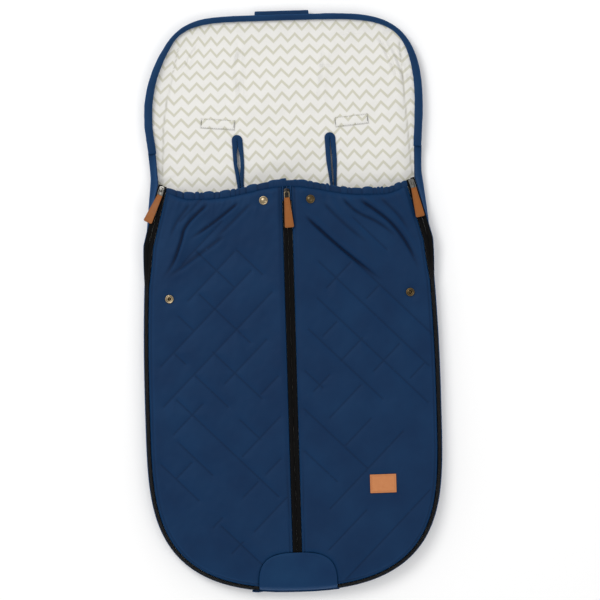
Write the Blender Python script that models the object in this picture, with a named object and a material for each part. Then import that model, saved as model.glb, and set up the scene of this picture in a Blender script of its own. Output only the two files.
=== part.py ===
"""Stroller footmuff, lying flat on its back and zipped shut.

Metres, +Z up. +Y points to the head end, +X to the right as seen from above.
The origin is at the middle of the footprint, on the floor.
"""

import math

import bmesh
import bpy
import numpy as np
from mathutils import Matrix, Vector

# Outline of the back
BODY_LENGTH = 0.992
FOOT_HALF_WIDTH = 0.254
WAIST_HALF_WIDTH = 0.232
HOOD_HALF_WIDTH = 0.2385
FOOT_ROUND = 0.330
HEAD_ROUND = 0.150
WAIST_FROM_FOOT = 0.716
FOOT_ROUND_POWERS = (4.05, 2.5)
HEAD_ROUND_POWERS = (2.4, 5.0)
WAIST_POWER = 2.2
FOOT_STEPS = 12
SIDE_STEPS = 7
HEAD_STEPS = 9

# Gap between neighbouring pieces
CLEARANCE = 0.0003

# Layers of the back, from the floor up
BACK_SHELL = 0.0012
BACK_WADDING = 0.0078
BACK_LINING = 0.0010
RIM_RADIUS = 0.014

# Tabs at the two ends
HEAD_TAB_WIDTH = 0.093
HEAD_TAB_PROUD = 0.007
HEAD_TAB_THICKNESS = 0.006
FOOT_TAB_WIDTH = 0.146
FOOT_TAB_PROUD = 0.002
FOOT_TAB_LOW = 0.004
FOOT_TAB_HIGH = 0.0197

# Hood binding
BINDING_WIDTH = 0.0145
BINDING_WIDTH_TOP = 0.0105
BINDING_HEIGHT = 0.009
BINDING_END = 0.262

# Harness slits and belt guides
SLIT_X = 0.080
SLIT_TOP = 0.285
SLIT_LENGTH = 0.142
SLIT_HALF_OPEN = 0.0032
SLIT_SLEEVE = 0.0014
SLIT_FLANGE_HALF = 0.0100
SLIT_FLANGE_HEIGHT = 0.0026
SLIT_LIP = 0.0015
SLIT_POWER = 0.35
SLIT_LEAF_SKEW = 0.56
GUIDE_X = 0.115
GUIDE_Y = 0.3085
GUIDE_LENGTH = 0.058
GUIDE_WIDTH = 0.017
GUIDE_THICKNESS = 0.0009
GUIDE_TURN = 5.0

# Side zips
ZIP_BAND_HALF = 0.0075
ZIP_TAPE_THICKNESS = 0.0007
ZIP_COIL_INNER = 0.0006
ZIP_COIL_OUTER = 0.0022
ZIP_COIL_HALF_HEIGHT = 0.0009
SIDE_ZIP_TOP = 0.205
SIDE_ZIP_TOP_INSET = 0.020
SIDE_ZIP_STRAIGHT_END = 0.100
SIDE_ZIP_STRAIGHT_STEPS = 3
SIDE_ZIP_BEND_END = 0.030
SIDE_ZIP_BEND_STEPS = 4
SIDE_ZIP_INSET = 0.0041
SIDE_ZIP_Z_TOP = 0.031
SIDE_ZIP_Z = 0.0285
SIDE_ZIP_TILT_TOP = 10.0
SIDE_ZIP_TILT = 65.0
GUSSET_THICKNESS = 0.0015
GUSSET_TOP_WIDTH = 0.013
GUSSET_TOP_RISE = 0.006
GUSSET_TOP_STEPS = 4

# Front cover
CROWN_Z_HEM = 0.056
CROWN_Z_FOOT = 0.045
CROWN_FOOT_FROM_END = 0.068
FAN_FROM_FOOT = 0.082
DOME_POWER = 2.6
TENT_END = -0.035
DOME_START = -0.200
COVER_SHELL = 0.0015
COVER_WADDING = 0.0060
COVER_LINING = 0.0010
WADDING_DROP = 0.0012
HEM_Y = 0.191
HEM_CENTRE_RISE = 0.017
HEM_CENTRE_REACH = 0.130
HEM_OUTER_RISE = 0.011
HEM_OUTER_FROM = 0.165
CASING_DEPTH = 0.013
CASING_ABOVE = 0.0016
CASING_BELOW = 0.0105
CASING_WALL = 0.0012
ELASTIC_THICKNESS = 0.0012

# Quilting
QUILT_PITCH = 0.0505
QUILT_PHASE = {"left": (0.0152, -0.0040), "right": (0.0349, 0.0378)}
QUILT_MARGIN = 0.008
PILLOW_HEIGHT = 0.0035
PILLOW_FACE = 0.60

# Foot patch
PATCH_HALF_WIDTH = 0.066
PATCH_POWER = 3.0
PATCH_THICKNESS = 0.003
PATCH_PROUD = 0.0008

# Snaps
UPPER_SNAP = (0.040, 0.1730)
LOWER_SNAP_INSET = 0.048
LOWER_SNAP_Y = 0.0095
SNAP_RADIUS = 0.0075
SNAP_HEIGHT = 0.0030
SNAP_BACK_RADIUS = 0.0060
SNAP_BACK_HEIGHT = 0.0012

# Fold of the lapels
FOLD_GAP = 0.0006
FOLD_AXIS_LIFT = 0.0058
FOLD_COIL_KEEP = 0.0165
FOLD_TAPE_KEEP = 0.0028

# Leather patch
LABEL_CENTRE = (0.150, -0.316)
LABEL_WIDTH = 0.045
LABEL_LENGTH = 0.032
LABEL_THICKNESS = 0.0014
LABEL_GAP = 0.0006

# Sliders and pulls
SLIDER_WIDTH = 0.0096
SLIDER_LENGTH = 0.020
SLIDER_PLATE = 0.0014
SLIDER_BLADE = 0.0006
SLIDER_BLADE_LENGTH = 0.005
CROWN_WIDTH = 0.0024
CROWN_LENGTH = 0.0090
CROWN_HEIGHT = 0.0034
CROWN_WALL = 0.0010
LINK_WIRE = 0.0007
LINK_WIDTH = 0.0080
LINK_LENGTH = 0.0110
TAB_LENGTH = 0.050
TAB_WIDTH_TOP = 0.0125
TAB_WIDTH_BOTTOM = 0.0160
TAB_THICKNESS = 0.0026
CENTRE_SLIDER_TOP = 0.192
SIDE_SLIDER_TOP = 0.203

OVERALL_LENGTH = BODY_LENGTH + HEAD_TAB_PROUD + FOOT_TAB_PROUD
Y_FOOT = FOOT_TAB_PROUD - OVERALL_LENGTH / 2
Y_HEAD = Y_FOOT + BODY_LENGTH
BACK_TOP = BACK_SHELL + BACK_WADDING + BACK_LINING + 2 * CLEARANCE
SLIT_CENTRE_Y = SLIT_TOP - SLIT_LENGTH / 2
SIDE_ZIP_TOP_X = WAIST_HALF_WIDTH - SIDE_ZIP_TOP_INSET
LOWER_SNAP = (FOOT_HALF_WIDTH - LOWER_SNAP_INSET, LOWER_SNAP_Y)
CENTRE_EDGE = ZIP_BAND_HALF + CLEARANCE
Y_CROWN_FOOT = Y_FOOT + CROWN_FOOT_FROM_END
Y_FAN = Y_FOOT + FAN_FROM_FOOT
SLIDER_INNER = ZIP_COIL_HALF_HEIGHT + 1.5 * CLEARANCE
SLIDER_TOP = SLIDER_INNER + SLIDER_PLATE
PIVOT_HEIGHT = SLIDER_TOP + LINK_WIRE + 2 * CLEARANCE
PIVOT_BACK = 0.3 * SLIDER_LENGTH
FOLD_MIDDLE = (
    (UPPER_SNAP[0] + LOWER_SNAP[0]) / 2,
    (UPPER_SNAP[1] + LOWER_SNAP[1]) / 2,
)
FOLD_REACH = math.dist(UPPER_SNAP, LOWER_SNAP)
FOLD_NORMAL = (
    (UPPER_SNAP[0] - LOWER_SNAP[0]) / FOLD_REACH,
    (UPPER_SNAP[1] - LOWER_SNAP[1]) / FOLD_REACH,
)
SIDES = {"left": -1, "right": 1}


def smooth(t):
    """0 to 1 with level ends."""
    t = min(max(t, 0.0), 1.0)
    return t * t * (3 - 2 * t)


def clear_scene():
    for obj in list(bpy.data.objects):
        bpy.data.objects.remove(obj, do_unlink=True)


def new_collection(name):
    collection = bpy.data.collections.new(name)
    bpy.context.scene.collection.children.link(collection)
    return collection


def principled(name, colour, roughness, metallic=0.0):
    material = bpy.data.materials.new(name)
    material.use_nodes = True
    shader = material.node_tree.nodes["Principled BSDF"]
    shader.inputs["Base Color"].default_value = (*colour, 1.0)
    shader.inputs["Roughness"].default_value = roughness
    shader.inputs["Metallic"].default_value = metallic
    return material


def navy_cloth(name):
    return principled(name, (0.013, 0.034, 0.089), 0.70)


def printed_lining(name):
    return principled(name, (0.84, 0.83, 0.78), 0.85)


def polyester_wadding(name):
    return principled(name, (0.90, 0.90, 0.90), 0.95)


def black_tape(name):
    return principled(name, (0.007, 0.006, 0.006), 0.75)


def tan_leather(name):
    return principled(name, (0.434, 0.138, 0.028), 0.55)


def nickel(name):
    return principled(name, (0.60, 0.59, 0.57), 0.30, 1.0)


def brass(name):
    return principled(name, (0.48, 0.33, 0.12), 0.35, 1.0)


def white_elastic(name):
    return principled(name, (0.80, 0.80, 0.78), 0.80)


def add_object(name, bm, material, parent=None):
    """A mesh object in world coordinates, hung on its joint's empty."""
    bmesh.ops.recalc_face_normals(bm, faces=bm.faces)
    mesh = bpy.data.meshes.new(name)
    bm.to_mesh(mesh)
    bm.free()
    obj = bpy.data.objects.new(name, mesh)
    PARTS.objects.link(obj)
    mesh.materials.append(material(name + "_material"))
    if parent is not None:
        obj.parent = parent
        obj.matrix_parent_inverse = parent.matrix_world.inverted()
    return obj


def add_axis(name, place, parent=None):
    empty = bpy.data.objects.new(name, None)
    empty.empty_display_size = 0.02
    PARTS.objects.link(empty)
    empty.location = place
    bpy.context.view_layer.update()
    if parent is not None:
        empty.parent = parent
        empty.matrix_parent_inverse = parent.matrix_world.inverted()
        bpy.context.view_layer.update()
    return empty


def add_helper(name, bm):
    """A hidden cutter or addition for a Boolean."""
    bmesh.ops.recalc_face_normals(bm, faces=bm.faces)
    mesh = bpy.data.meshes.new(name)
    bm.to_mesh(mesh)
    bm.free()
    obj = bpy.data.objects.new(name, mesh)
    CUTTERS.objects.link(obj)
    obj.hide_render = True
    obj.display_type = "WIRE"
    return obj


def boolean(obj, other, operation):
    modifier = obj.modifiers.new(other.name, "BOOLEAN")
    modifier.operation = operation
    modifier.solver = "EXACT"
    modifier.object = other


def loft(rings, close_ring=True, close_path=False):
    """Skins a row of equal rings; open rows are capped at both ends.

    Each wall face is cut on its short diagonal, so that thin walls stay parallel.
    """
    bm = bmesh.new()
    rows = [[bm.verts.new(point) for point in ring] for ring in rings]
    following = rows[1:] + ([rows[0]] if close_path else [])
    for here, there in zip(rows, following):
        count = len(here)
        for i in range(count if close_ring else count - 1):
            j = (i + 1) % count
            bm.faces.new((here[i], here[j], there[j], there[i]))
    bmesh.ops.triangulate(bm, faces=bm.faces[:], quad_method="SHORT_EDGE")
    if not close_path:
        bm.faces.new(rows[0])
        bm.faces.new(rows[-1])
    return bm


def half_width(y):
    """Half the width of the back at this place along its length."""
    from_foot = y - Y_FOOT
    from_head = Y_HEAD - y
    if from_foot <= 0 or from_head <= 0:
        return 0.0
    if from_foot < FOOT_ROUND:
        along, across = FOOT_ROUND_POWERS
        left = 1 - from_foot / FOOT_ROUND
        return FOOT_HALF_WIDTH * (1 - left**along) ** (1 / across)
    if from_foot < WAIST_FROM_FOOT:
        share = (from_foot - FOOT_ROUND) / (WAIST_FROM_FOOT - FOOT_ROUND)
        drop = FOOT_HALF_WIDTH - WAIST_HALF_WIDTH
        return FOOT_HALF_WIDTH - drop * share**WAIST_POWER
    if from_head > HEAD_ROUND:
        reach = BODY_LENGTH - HEAD_ROUND - WAIST_FROM_FOOT
        share = smooth((from_foot - WAIST_FROM_FOOT) / reach)
        return WAIST_HALF_WIDTH + (HOOD_HALF_WIDTH - WAIST_HALF_WIDTH) * share
    along, across = HEAD_ROUND_POWERS
    left = 1 - from_head / HEAD_ROUND
    return HOOD_HALF_WIDTH * (1 - left**along) ** (1 / across)


def right_outline():
    """Outline points on the right, from the foot's middle to the head's middle."""
    points = []
    along, across = FOOT_ROUND_POWERS
    for k in range(FOOT_STEPS + 1):
        turn = math.pi / 2 * k / FOOT_STEPS
        x = FOOT_HALF_WIDTH * math.sin(turn) ** (2 / across)
        y = Y_FOOT + FOOT_ROUND * (1 - max(math.cos(turn), 0.0) ** (2 / along))
        points.append((x, y))
    low = Y_FOOT + FOOT_ROUND
    high = Y_HEAD - HEAD_ROUND
    for k in range(1, SIDE_STEPS + 1):
        y = low + (high - low) * k / (SIDE_STEPS + 1)
        points.append((half_width(y), y))
    along, across = HEAD_ROUND_POWERS
    for k in range(HEAD_STEPS, -1, -1):
        turn = math.pi / 2 * k / HEAD_STEPS
        x = HOOD_HALF_WIDTH * math.sin(turn) ** (2 / across)
        y = Y_HEAD - HEAD_ROUND * (1 - max(math.cos(turn), 0.0) ** (2 / along))
        points.append((x, y))
    return points


def with_normals(points, closed):
    """Each point with its outward normal, for a path run anticlockwise."""
    array = np.array(points)
    if closed:
        tangent = np.roll(array, -1, axis=0) - np.roll(array, 1, axis=0)
    else:
        tangent = np.gradient(array, axis=0)
    tangent /= np.linalg.norm(tangent, axis=1)[:, None]
    normal = np.stack([tangent[:, 1], -tangent[:, 0]], axis=1)
    return [(Vector(p), Vector(n)) for p, n in zip(array, normal)]


def back_outline():
    right = right_outline()
    left = [(-x, y) for x, y in reversed(right[1:-1])]
    return with_normals(right + left, closed=True)


def tray_ring(outline, depth, turn):
    """One ring of a layer: depth below the skin, turned up by an angle."""
    radius = RIM_RADIUS - depth
    inset = RIM_RADIUS - radius * math.sin(turn)
    z = RIM_RADIUS - radius * math.cos(turn)
    return [(*(p - n * inset), z) for p, n in outline]


def tray_layer(name, depth, thickness, material, turns=(0.0,)):
    """A layer of the back, turned up at its rim by the given angles."""
    outline = back_outline()
    rings = [tray_ring(outline, depth, turn) for turn in turns]
    rings += [tray_ring(outline, depth + thickness, turn) for turn in reversed(turns)]
    return add_object(name, loft(rings), material)


def slit_ring(half_open, x_middle, z, leaf=0.0, steps=11):
    """A long narrow ring, widened by a leaf shape that is fullest near its top."""
    length = SLIT_LENGTH + 2 * (half_open - SLIT_HALF_OPEN) + leaf
    points = []
    for side in (1, -1):
        for k in range(steps):
            share = k / steps if side > 0 else 1 - k / steps
            wide = half_open * math.sin(math.pi * share) ** SLIT_POWER
            wide += leaf * math.sin(math.pi * (1 - share) ** SLIT_LEAF_SKEW) ** 2
            y = SLIT_CENTRE_Y + length * (share - 0.5)
            points.append((x_middle + side * wide, y, z))
    return points


def slit_binding(name, x_middle):
    """A bound eyelet: a sleeve through the back with a padded lip on the lining."""
    sleeve = SLIT_HALF_OPEN + SLIT_SLEEVE
    leaf = SLIT_FLANGE_HALF - sleeve - SLIT_LIP
    seat = BACK_TOP + CLEARANCE
    top = seat + SLIT_FLANGE_HEIGHT
    middle = (seat + top) / 2
    rings = [
        slit_ring(SLIT_HALF_OPEN, x_middle, CLEARANCE),
        slit_ring(sleeve, x_middle, CLEARANCE),
        slit_ring(sleeve, x_middle, seat),
        slit_ring(sleeve + 0.8 * SLIT_LIP, x_middle, seat, leaf),
        slit_ring(sleeve + SLIT_LIP, x_middle, middle, leaf),
        slit_ring(sleeve, x_middle, top, 0.7 * leaf),
        slit_ring(SLIT_HALF_OPEN, x_middle, middle),
    ]
    return add_object(name, loft(rings, close_path=True), navy_cloth)


def slit_cutter(name, x_middle):
    wide = SLIT_HALF_OPEN + SLIT_SLEEVE + CLEARANCE
    below = slit_ring(wide, x_middle, -RIM_RADIUS)
    above = slit_ring(wide, x_middle, 2 * RIM_RADIUS)
    return add_helper(name, loft([below, above]))


def make_back():
    rim = (0.0, math.pi / 4, math.pi / 2)
    depth = BACK_SHELL + CLEARANCE
    layers = [
        tray_layer("back_shell", 0.0, BACK_SHELL, navy_cloth, rim),
        tray_layer("back_wadding", depth, BACK_WADDING, polyester_wadding, rim),
        tray_layer("back_lining", BACK_TOP - BACK_LINING, BACK_LINING, printed_lining),
    ]
    for side, sign in SIDES.items():
        cutter = slit_cutter("slit_cutter_" + side, sign * SLIT_X)
        for layer in layers:
            boolean(layer, cutter, "DIFFERENCE")
        slit_binding("harness_slit_binding_" + side, sign * SLIT_X)


def belt_guide(name, sign):
    """A strip of lining cloth sewn flat above each slit."""
    bm = bmesh.new()
    bmesh.ops.create_cube(bm, size=1.0)
    size = Matrix.Diagonal((GUIDE_LENGTH, GUIDE_WIDTH, GUIDE_THICKNESS, 1.0))
    turn = Matrix.Rotation(math.radians(sign * GUIDE_TURN), 4, "Z")
    height = BACK_TOP + CLEARANCE + GUIDE_THICKNESS / 2
    place = Matrix.Translation((sign * GUIDE_X, GUIDE_Y, height))
    bmesh.ops.transform(bm, matrix=place @ turn @ size, verts=bm.verts)
    return add_object(name, bm, printed_lining)


def hood_path():
    """Outline points with normals from one end of the binding to the other."""
    right = [(x, y) for x, y in right_outline() if y > BINDING_END + CASING_DEPTH]
    right.insert(0, (half_width(BINDING_END), BINDING_END))
    left = [(-x, y) for x, y in reversed(right[:-1])]
    return with_normals(right + left, closed=False)


def hood_binding():
    rings = []
    for p, n in hood_path():
        wide = BINDING_WIDTH + (BINDING_WIDTH_TOP - BINDING_WIDTH) * n.y**2
        ring = []
        for k in range(8):
            turn = math.pi * (k + 0.5) / 4
            inset = wide / 2 * (1 - math.cos(turn) / math.cos(math.pi / 8))
            rise = math.sin(turn) / math.sin(3 * math.pi / 8)
            z = RIM_RADIUS + CLEARANCE + BINDING_HEIGHT / 2 * (1 + rise)
            ring.append((*(p - n * inset), z))
        rings.append(ring)
    return add_object("hood_binding", loft(rings), navy_cloth)


def box(name, low, high, material, parent=None, bevel=0.0):
    bm = bmesh.new()
    bmesh.ops.create_cube(bm, size=1.0)
    size = [b - a for a, b in zip(low, high)]
    middle = [(a + b) / 2 for a, b in zip(low, high)]
    matrix = Matrix.Translation(middle) @ Matrix.Diagonal((*size, 1.0))
    bmesh.ops.transform(bm, matrix=matrix, verts=bm.verts)
    if bevel:
        bmesh.ops.bevel(
            bm,
            geom=bm.edges[:],
            offset=bevel,
            segments=1,
            profile=0.5,
            affect="EDGES",
            material=-1,
        )
    return add_object(name, bm, material, parent)


def end_tabs():
    box(
        "head_tab",
        (-HEAD_TAB_WIDTH / 2, Y_HEAD + CLEARANCE, RIM_RADIUS - HEAD_TAB_THICKNESS),
        (HEAD_TAB_WIDTH / 2, Y_HEAD + HEAD_TAB_PROUD, RIM_RADIUS),
        navy_cloth,
        bevel=HEAD_TAB_THICKNESS / 4,
    )
    box(
        "foot_end_tab",
        (-FOOT_TAB_WIDTH / 2, Y_FOOT - FOOT_TAB_PROUD, FOOT_TAB_LOW),
        (FOOT_TAB_WIDTH / 2, Y_FOOT - CLEARANCE, FOOT_TAB_HIGH),
        navy_cloth,
    )


def side_zip_stations():
    """Centre line of the right side zip, from the foot's middle to its top.

    Each station is (point, outward normal, height, tilt from level).
    """
    outline = with_normals(right_outline(), closed=False)
    stations = []
    for p, n in outline:
        if p.y > SIDE_ZIP_BEND_END - CASING_DEPTH:
            break
        n = Vector((0.0, -1.0)) if p.x < CLEARANCE else n
        stations.append(
            (p - n * SIDE_ZIP_INSET, n, SIDE_ZIP_Z, math.radians(SIDE_ZIP_TILT))
        )
    low_x = half_width(SIDE_ZIP_STRAIGHT_END) - SIDE_ZIP_INSET
    rise = SIDE_ZIP_TOP - SIDE_ZIP_STRAIGHT_END
    run = SIDE_ZIP_TOP_X - low_x
    straight = Vector((rise, -run)).normalized()
    for step in range(SIDE_ZIP_BEND_STEPS):
        share = step / SIDE_ZIP_BEND_STEPS
        y = SIDE_ZIP_BEND_END + (SIDE_ZIP_STRAIGHT_END - SIDE_ZIP_BEND_END) * share
        n = Vector((1.0, 0.0)).lerp(straight, share).normalized()
        tilt = SIDE_ZIP_TILT + (SIDE_ZIP_TILT_TOP - SIDE_ZIP_TILT) * share
        z = SIDE_ZIP_Z + (SIDE_ZIP_Z_TOP - SIDE_ZIP_Z) * share
        p = Vector((half_width(y) - SIDE_ZIP_INSET, y))
        stations.append((p, n, z, math.radians(tilt)))
    for step in range(SIDE_ZIP_STRAIGHT_STEPS + 1):
        share = step / SIDE_ZIP_STRAIGHT_STEPS
        p = Vector((low_x + run * share, SIDE_ZIP_STRAIGHT_END + rise * share))
        stations.append(
            (p, straight, SIDE_ZIP_Z_TOP, math.radians(SIDE_ZIP_TILT_TOP))
        )
    return stations


def zip_point(station, across, above, sign=1):
    """A point on the zip band: across towards the cover, above its face."""
    p, n, z, tilt = station
    out = -across * math.cos(tilt) + above * math.sin(tilt)
    up = across * math.sin(tilt) + above * math.cos(tilt)
    q = p + n * out
    return Vector((sign * q.x, q.y, z + up))


def between(first, second, share):
    """A station part of the way from one to the next."""
    p = first[0].lerp(second[0], share)
    n = first[1].lerp(second[1], share).normalized()
    z = first[2] + (second[2] - first[2]) * share
    tilt = first[3] + (second[3] - first[3]) * share
    return p, n, z, tilt


def trimmed(stations, low, high, key):
    """The stations with key between two values, cut exactly at both."""
    kept = []
    for first, second in zip(stations, stations[1:]):
        a, b = key(first), key(second)
        if b <= low or a >= high:
            continue
        start = max((low - a) / (b - a), 0.0)
        stop = min((high - a) / (b - a), 1.0)
        if not kept:
            kept.append(between(first, second, start))
        kept.append(between(first, second, stop))
    return kept


def zip_half_section(tape_only=False):
    """One half of a zip: the tape, and the coil woven along its inner edge."""
    edge, web, inner = ZIP_BAND_HALF, ZIP_COIL_OUTER, ZIP_COIL_INNER
    thin, thick = ZIP_TAPE_THICKNESS / 2, ZIP_COIL_HALF_HEIGHT
    if tape_only:
        inner = web - CLEARANCE
        thick = thin + CLEARANCE / 3
    return (
        (edge, -thin),
        (edge, thin),
        (web, thin),
        (web, thick),
        (inner, thick),
        (inner, -thick),
        (web, -thick),
        (web, -thin),
    )


def side_zip_half(name, stations, towards, sign, parent=None):
    """Half of a side zip; towards is 1 on the cover and -1 on the back."""
    rings = []
    for station in stations:
        section = zip_half_section()
        rings.append([zip_point(station, towards * a, b, sign) for a, b in section])
    return add_object(name, loft(rings), black_tape, parent)


def side_zips():
    stations = side_zip_stations()
    widest = max(range(len(stations)), key=lambda k: stations[k][0].x)
    start = PATCH_HALF_WIDTH + 3 * CLEARANCE
    foot = trimmed(stations[: widest + 1], start, FOOT_HALF_WIDTH, lambda s: s[0].x)
    low = stations[widest][0].y
    run = stations[-3][0] - stations[-1][0]
    reach = SLIDER_LENGTH + CLEARANCE
    high = SIDE_SLIDER_TOP + run.normalized().y * reach
    rest = trimmed(stations[widest:], low, high, lambda s: s[0].y)
    for side, sign in SIDES.items():
        run = foot + stations[widest + 1 :]
        side_zip_half("back_zip_half_" + side, run, -1, sign)
        run = foot + rest[1:]
        side_zip_half("cover_zip_half_" + side, run, 1, sign, AXES["cover"])


def gusset_section(outer, inner):
    """Section between the rim and the zip, as (inset, z) pairs from a normal."""
    rise = inner[1] - outer[1]
    slant = math.hypot(inner[0] - outer[0], rise)
    level = GUSSET_THICKNESS * slant / rise
    across = GUSSET_THICKNESS * rise / slant
    down = GUSSET_THICKNESS * (inner[0] - outer[0]) / slant
    return (
        outer,
        inner,
        (inner[0] + across, inner[1] - down),
        (outer[0] + level, outer[1]),
    )


def side_gusset(name, sign):
    """The strip between the rim of the back and the side zip."""
    seat = RIM_RADIUS + CLEARANCE
    edge = -ZIP_BAND_HALF - CLEARANCE
    below = -ZIP_TAPE_THICKNESS / 2 - CLEARANCE
    rings = []
    for station in side_zip_stations():
        p, n, z, tilt = station
        foot = p + n * SIDE_ZIP_INSET
        top = zip_point(station, edge, below)
        if p.y > SIDE_ZIP_BEND_END:
            n = Vector((1.0, 0.0))
            foot = Vector((half_width(top.y), top.y))
        foot.x = max(foot.x, CLEARANCE / 2)
        top_inset = (foot - top.xy).dot(n)
        section = gusset_section((0.0, seat), (top_inset, top.z))
        base = foot.copy()
        rings.append([(*(base - n * inset), z) for inset, z in section])
    y = BINDING_END - CLEARANCE
    foot = Vector((half_width(y), y))
    section = gusset_section((0.0, seat), (GUSSET_TOP_WIDTH, seat + GUSSET_TOP_RISE))
    top_ring = [(foot.x - inset, foot.y, z) for inset, z in section]
    last = rings[-1]
    for step in range(1, GUSSET_TOP_STEPS + 1):
        share = step / GUSSET_TOP_STEPS
        pairs = zip(last, top_ring)
        rings.append([tuple(Vector(a).lerp(Vector(b), share)) for a, b in pairs])
    rings = [[(sign * x, y, z) for x, y, z in ring] for ring in rings]
    return add_object(name, loft(rings), navy_cloth)


def cover_edge_line():
    """Plan line of the cover's sewn edge on the right, foot to top."""
    edge = ZIP_BAND_HALF + CLEARANCE
    below = -ZIP_TAPE_THICKNESS / 2 - CLEARANCE
    points = [zip_point(s, edge, below) for s in side_zip_stations()]
    points[0].x = 0.0
    return points


def crown_z(y):
    """Height of the cover's centre line, a straight run for the zip."""
    slope = (CROWN_Z_HEM - CROWN_Z_FOOT) / (HEM_Y - Y_CROWN_FOOT)
    return CROWN_Z_FOOT + slope * (y - Y_CROWN_FOOT)


def edge_half_width(y):
    return float(np.interp(y, EDGE_Y, EDGE_X))


def reach_share(x, y):
    """0 on the centre line, 1 on the cover's sewn edge."""
    x = abs(x)
    if y >= Y_FAN:
        return min(x / edge_half_width(y), 1.0)
    low, high = 0.0, 1.0
    for _ in range(30):
        share = (low + high) / 2
        scaled_y = Y_FAN + (y - Y_FAN) / share
        outside = scaled_y < EDGE_Y[0] or x / share > edge_half_width(scaled_y)
        low, high = (share, high) if outside else (low, share)
    return high


def cover_z(x, y):
    """Height of the stitch lines on the cover."""
    reach = reach_share(x, y)
    along = max(y, Y_FAN)
    edge_z = float(np.interp(along, EDGE_Y, EDGE_Z))
    bulge = smooth((TENT_END - y) / (TENT_END - DOME_START))
    power = 1.0 + (DOME_POWER - 1.0) * bulge
    return edge_z + (crown_z(along) - edge_z) * (1 - reach**power)


def hem_y(x):
    """Top edge of the cover across its width."""
    x = abs(x)
    centre = math.cos(math.pi / 2 * min(x / HEM_CENTRE_REACH, 1.0)) ** 2
    outer = smooth((x - HEM_OUTER_FROM) / (SIDE_ZIP_TOP_X - HEM_OUTER_FROM))
    return HEM_Y + HEM_CENTRE_RISE * centre + HEM_OUTER_RISE * outer


def fold_distance(x, y):
    """Signed distance from the lapel's fold, positive on the lapel."""
    dx = abs(x) - FOLD_MIDDLE[0]
    dy = y - FOLD_MIDDLE[1]
    return dx * FOLD_NORMAL[0] + dy * FOLD_NORMAL[1]


def fold_y(x, offset):
    """Where a line parallel to the fold passes this x."""
    dx = abs(x) - FOLD_MIDDLE[0]
    return FOLD_MIDDLE[1] + (offset - dx * FOLD_NORMAL[0]) / FOLD_NORMAL[1]


def edge_meets_fold(offset):
    """Where the cover's sewn edge crosses a line parallel to the fold."""
    low, high = SIDE_ZIP_STRAIGHT_END, SIDE_ZIP_TOP
    for _ in range(40):
        y = (low + high) / 2
        inside = fold_distance(edge_half_width(y), y) < offset
        low, high = (y, high) if inside else (low, y)
    return edge_half_width(low), low


def arch_line(clear=0.0, steps=8):
    """Outline of the foot patch on the right, from its top to the cover's edge."""
    wide = PATCH_HALF_WIDTH + clear
    base = float(np.interp(wide, FOOT_EDGE_X, FOOT_EDGE_Y))
    top = Y_CROWN_FOOT + clear
    points = []
    for k in range(steps + 1):
        turn = math.pi / 2 * k / steps
        x = wide * math.sin(turn) ** (2 / PATCH_POWER)
        y = base + (top - base) * max(math.cos(turn), 0.0) ** (2 / PATCH_POWER)
        points.append((x, y))
    return points


def cover_plan():
    """Outline of the right half of the cover below the fold, anticlockwise."""
    arch = [p for p in arch_line(CLEARANCE) if p[0] > CENTRE_EDGE]
    arch.insert(0, (CENTRE_EDGE, arch_line(CLEARANCE)[0][1]))
    corner_x, corner_y = edge_meets_fold(-FOLD_GAP / 2)
    edge = [
        (p.x, p.y)
        for p in cover_edge_line()
        if p.x > arch[-1][0] + QUILT_MARGIN and p.y < corner_y - QUILT_MARGIN
    ]
    points = arch + edge + [(corner_x, corner_y)]
    for share in (0.33, 0.67):
        x = corner_x + (CENTRE_EDGE - corner_x) * share
        points.append((x, fold_y(x, -FOLD_GAP / 2)))
    points.append((CENTRE_EDGE, fold_y(CENTRE_EDGE, -FOLD_GAP / 2)))
    return points


def hem_stations(steps=9):
    """Places along the hem, from the centre zip to the side zip."""
    outer_x = edge_half_width(SIDE_ZIP_TOP - CASING_DEPTH)
    return [CENTRE_EDGE + (outer_x - CENTRE_EDGE) * k / steps for k in range(steps + 1)]


def lapel_plan():
    """Outline of the right lapel up to the hem casing, anticlockwise."""
    corner_x, corner_y = edge_meets_fold(FOLD_GAP / 2)
    top = CASING_DEPTH + CLEARANCE
    points = [(CENTRE_EDGE, fold_y(CENTRE_EDGE, FOLD_GAP / 2))]
    for share in (0.33, 0.67):
        x = CENTRE_EDGE + (corner_x - CENTRE_EDGE) * share
        points.append((x, fold_y(x, FOLD_GAP / 2)))
    points.append((corner_x, corner_y))
    points += [(x, hem_y(x) - top) for x in reversed(hem_stations())]
    return points


def quilt_cell(x, y, side):
    """Column and row of the quilting square that a point is in."""
    first, second = QUILT_PHASE[side]
    root = math.sqrt(2)
    column = math.floor(((x - y) / root - first) / QUILT_PITCH)
    row = math.floor(((x + y) / root - second) / QUILT_PITCH)
    return column, row


def sewn_together(cell, other):
    """Pairs of squares with no stitch line between them, so that some are oblong."""
    (a, b), (c, d) = sorted((cell, other))
    if (a + b) % 3 == 0:
        return False
    if (c, d) == (a + 1, b):
        return (a - b) % 4 == 0
    return (c, d) == (a, b + 1) and (a - b) % 4 == 3


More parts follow.
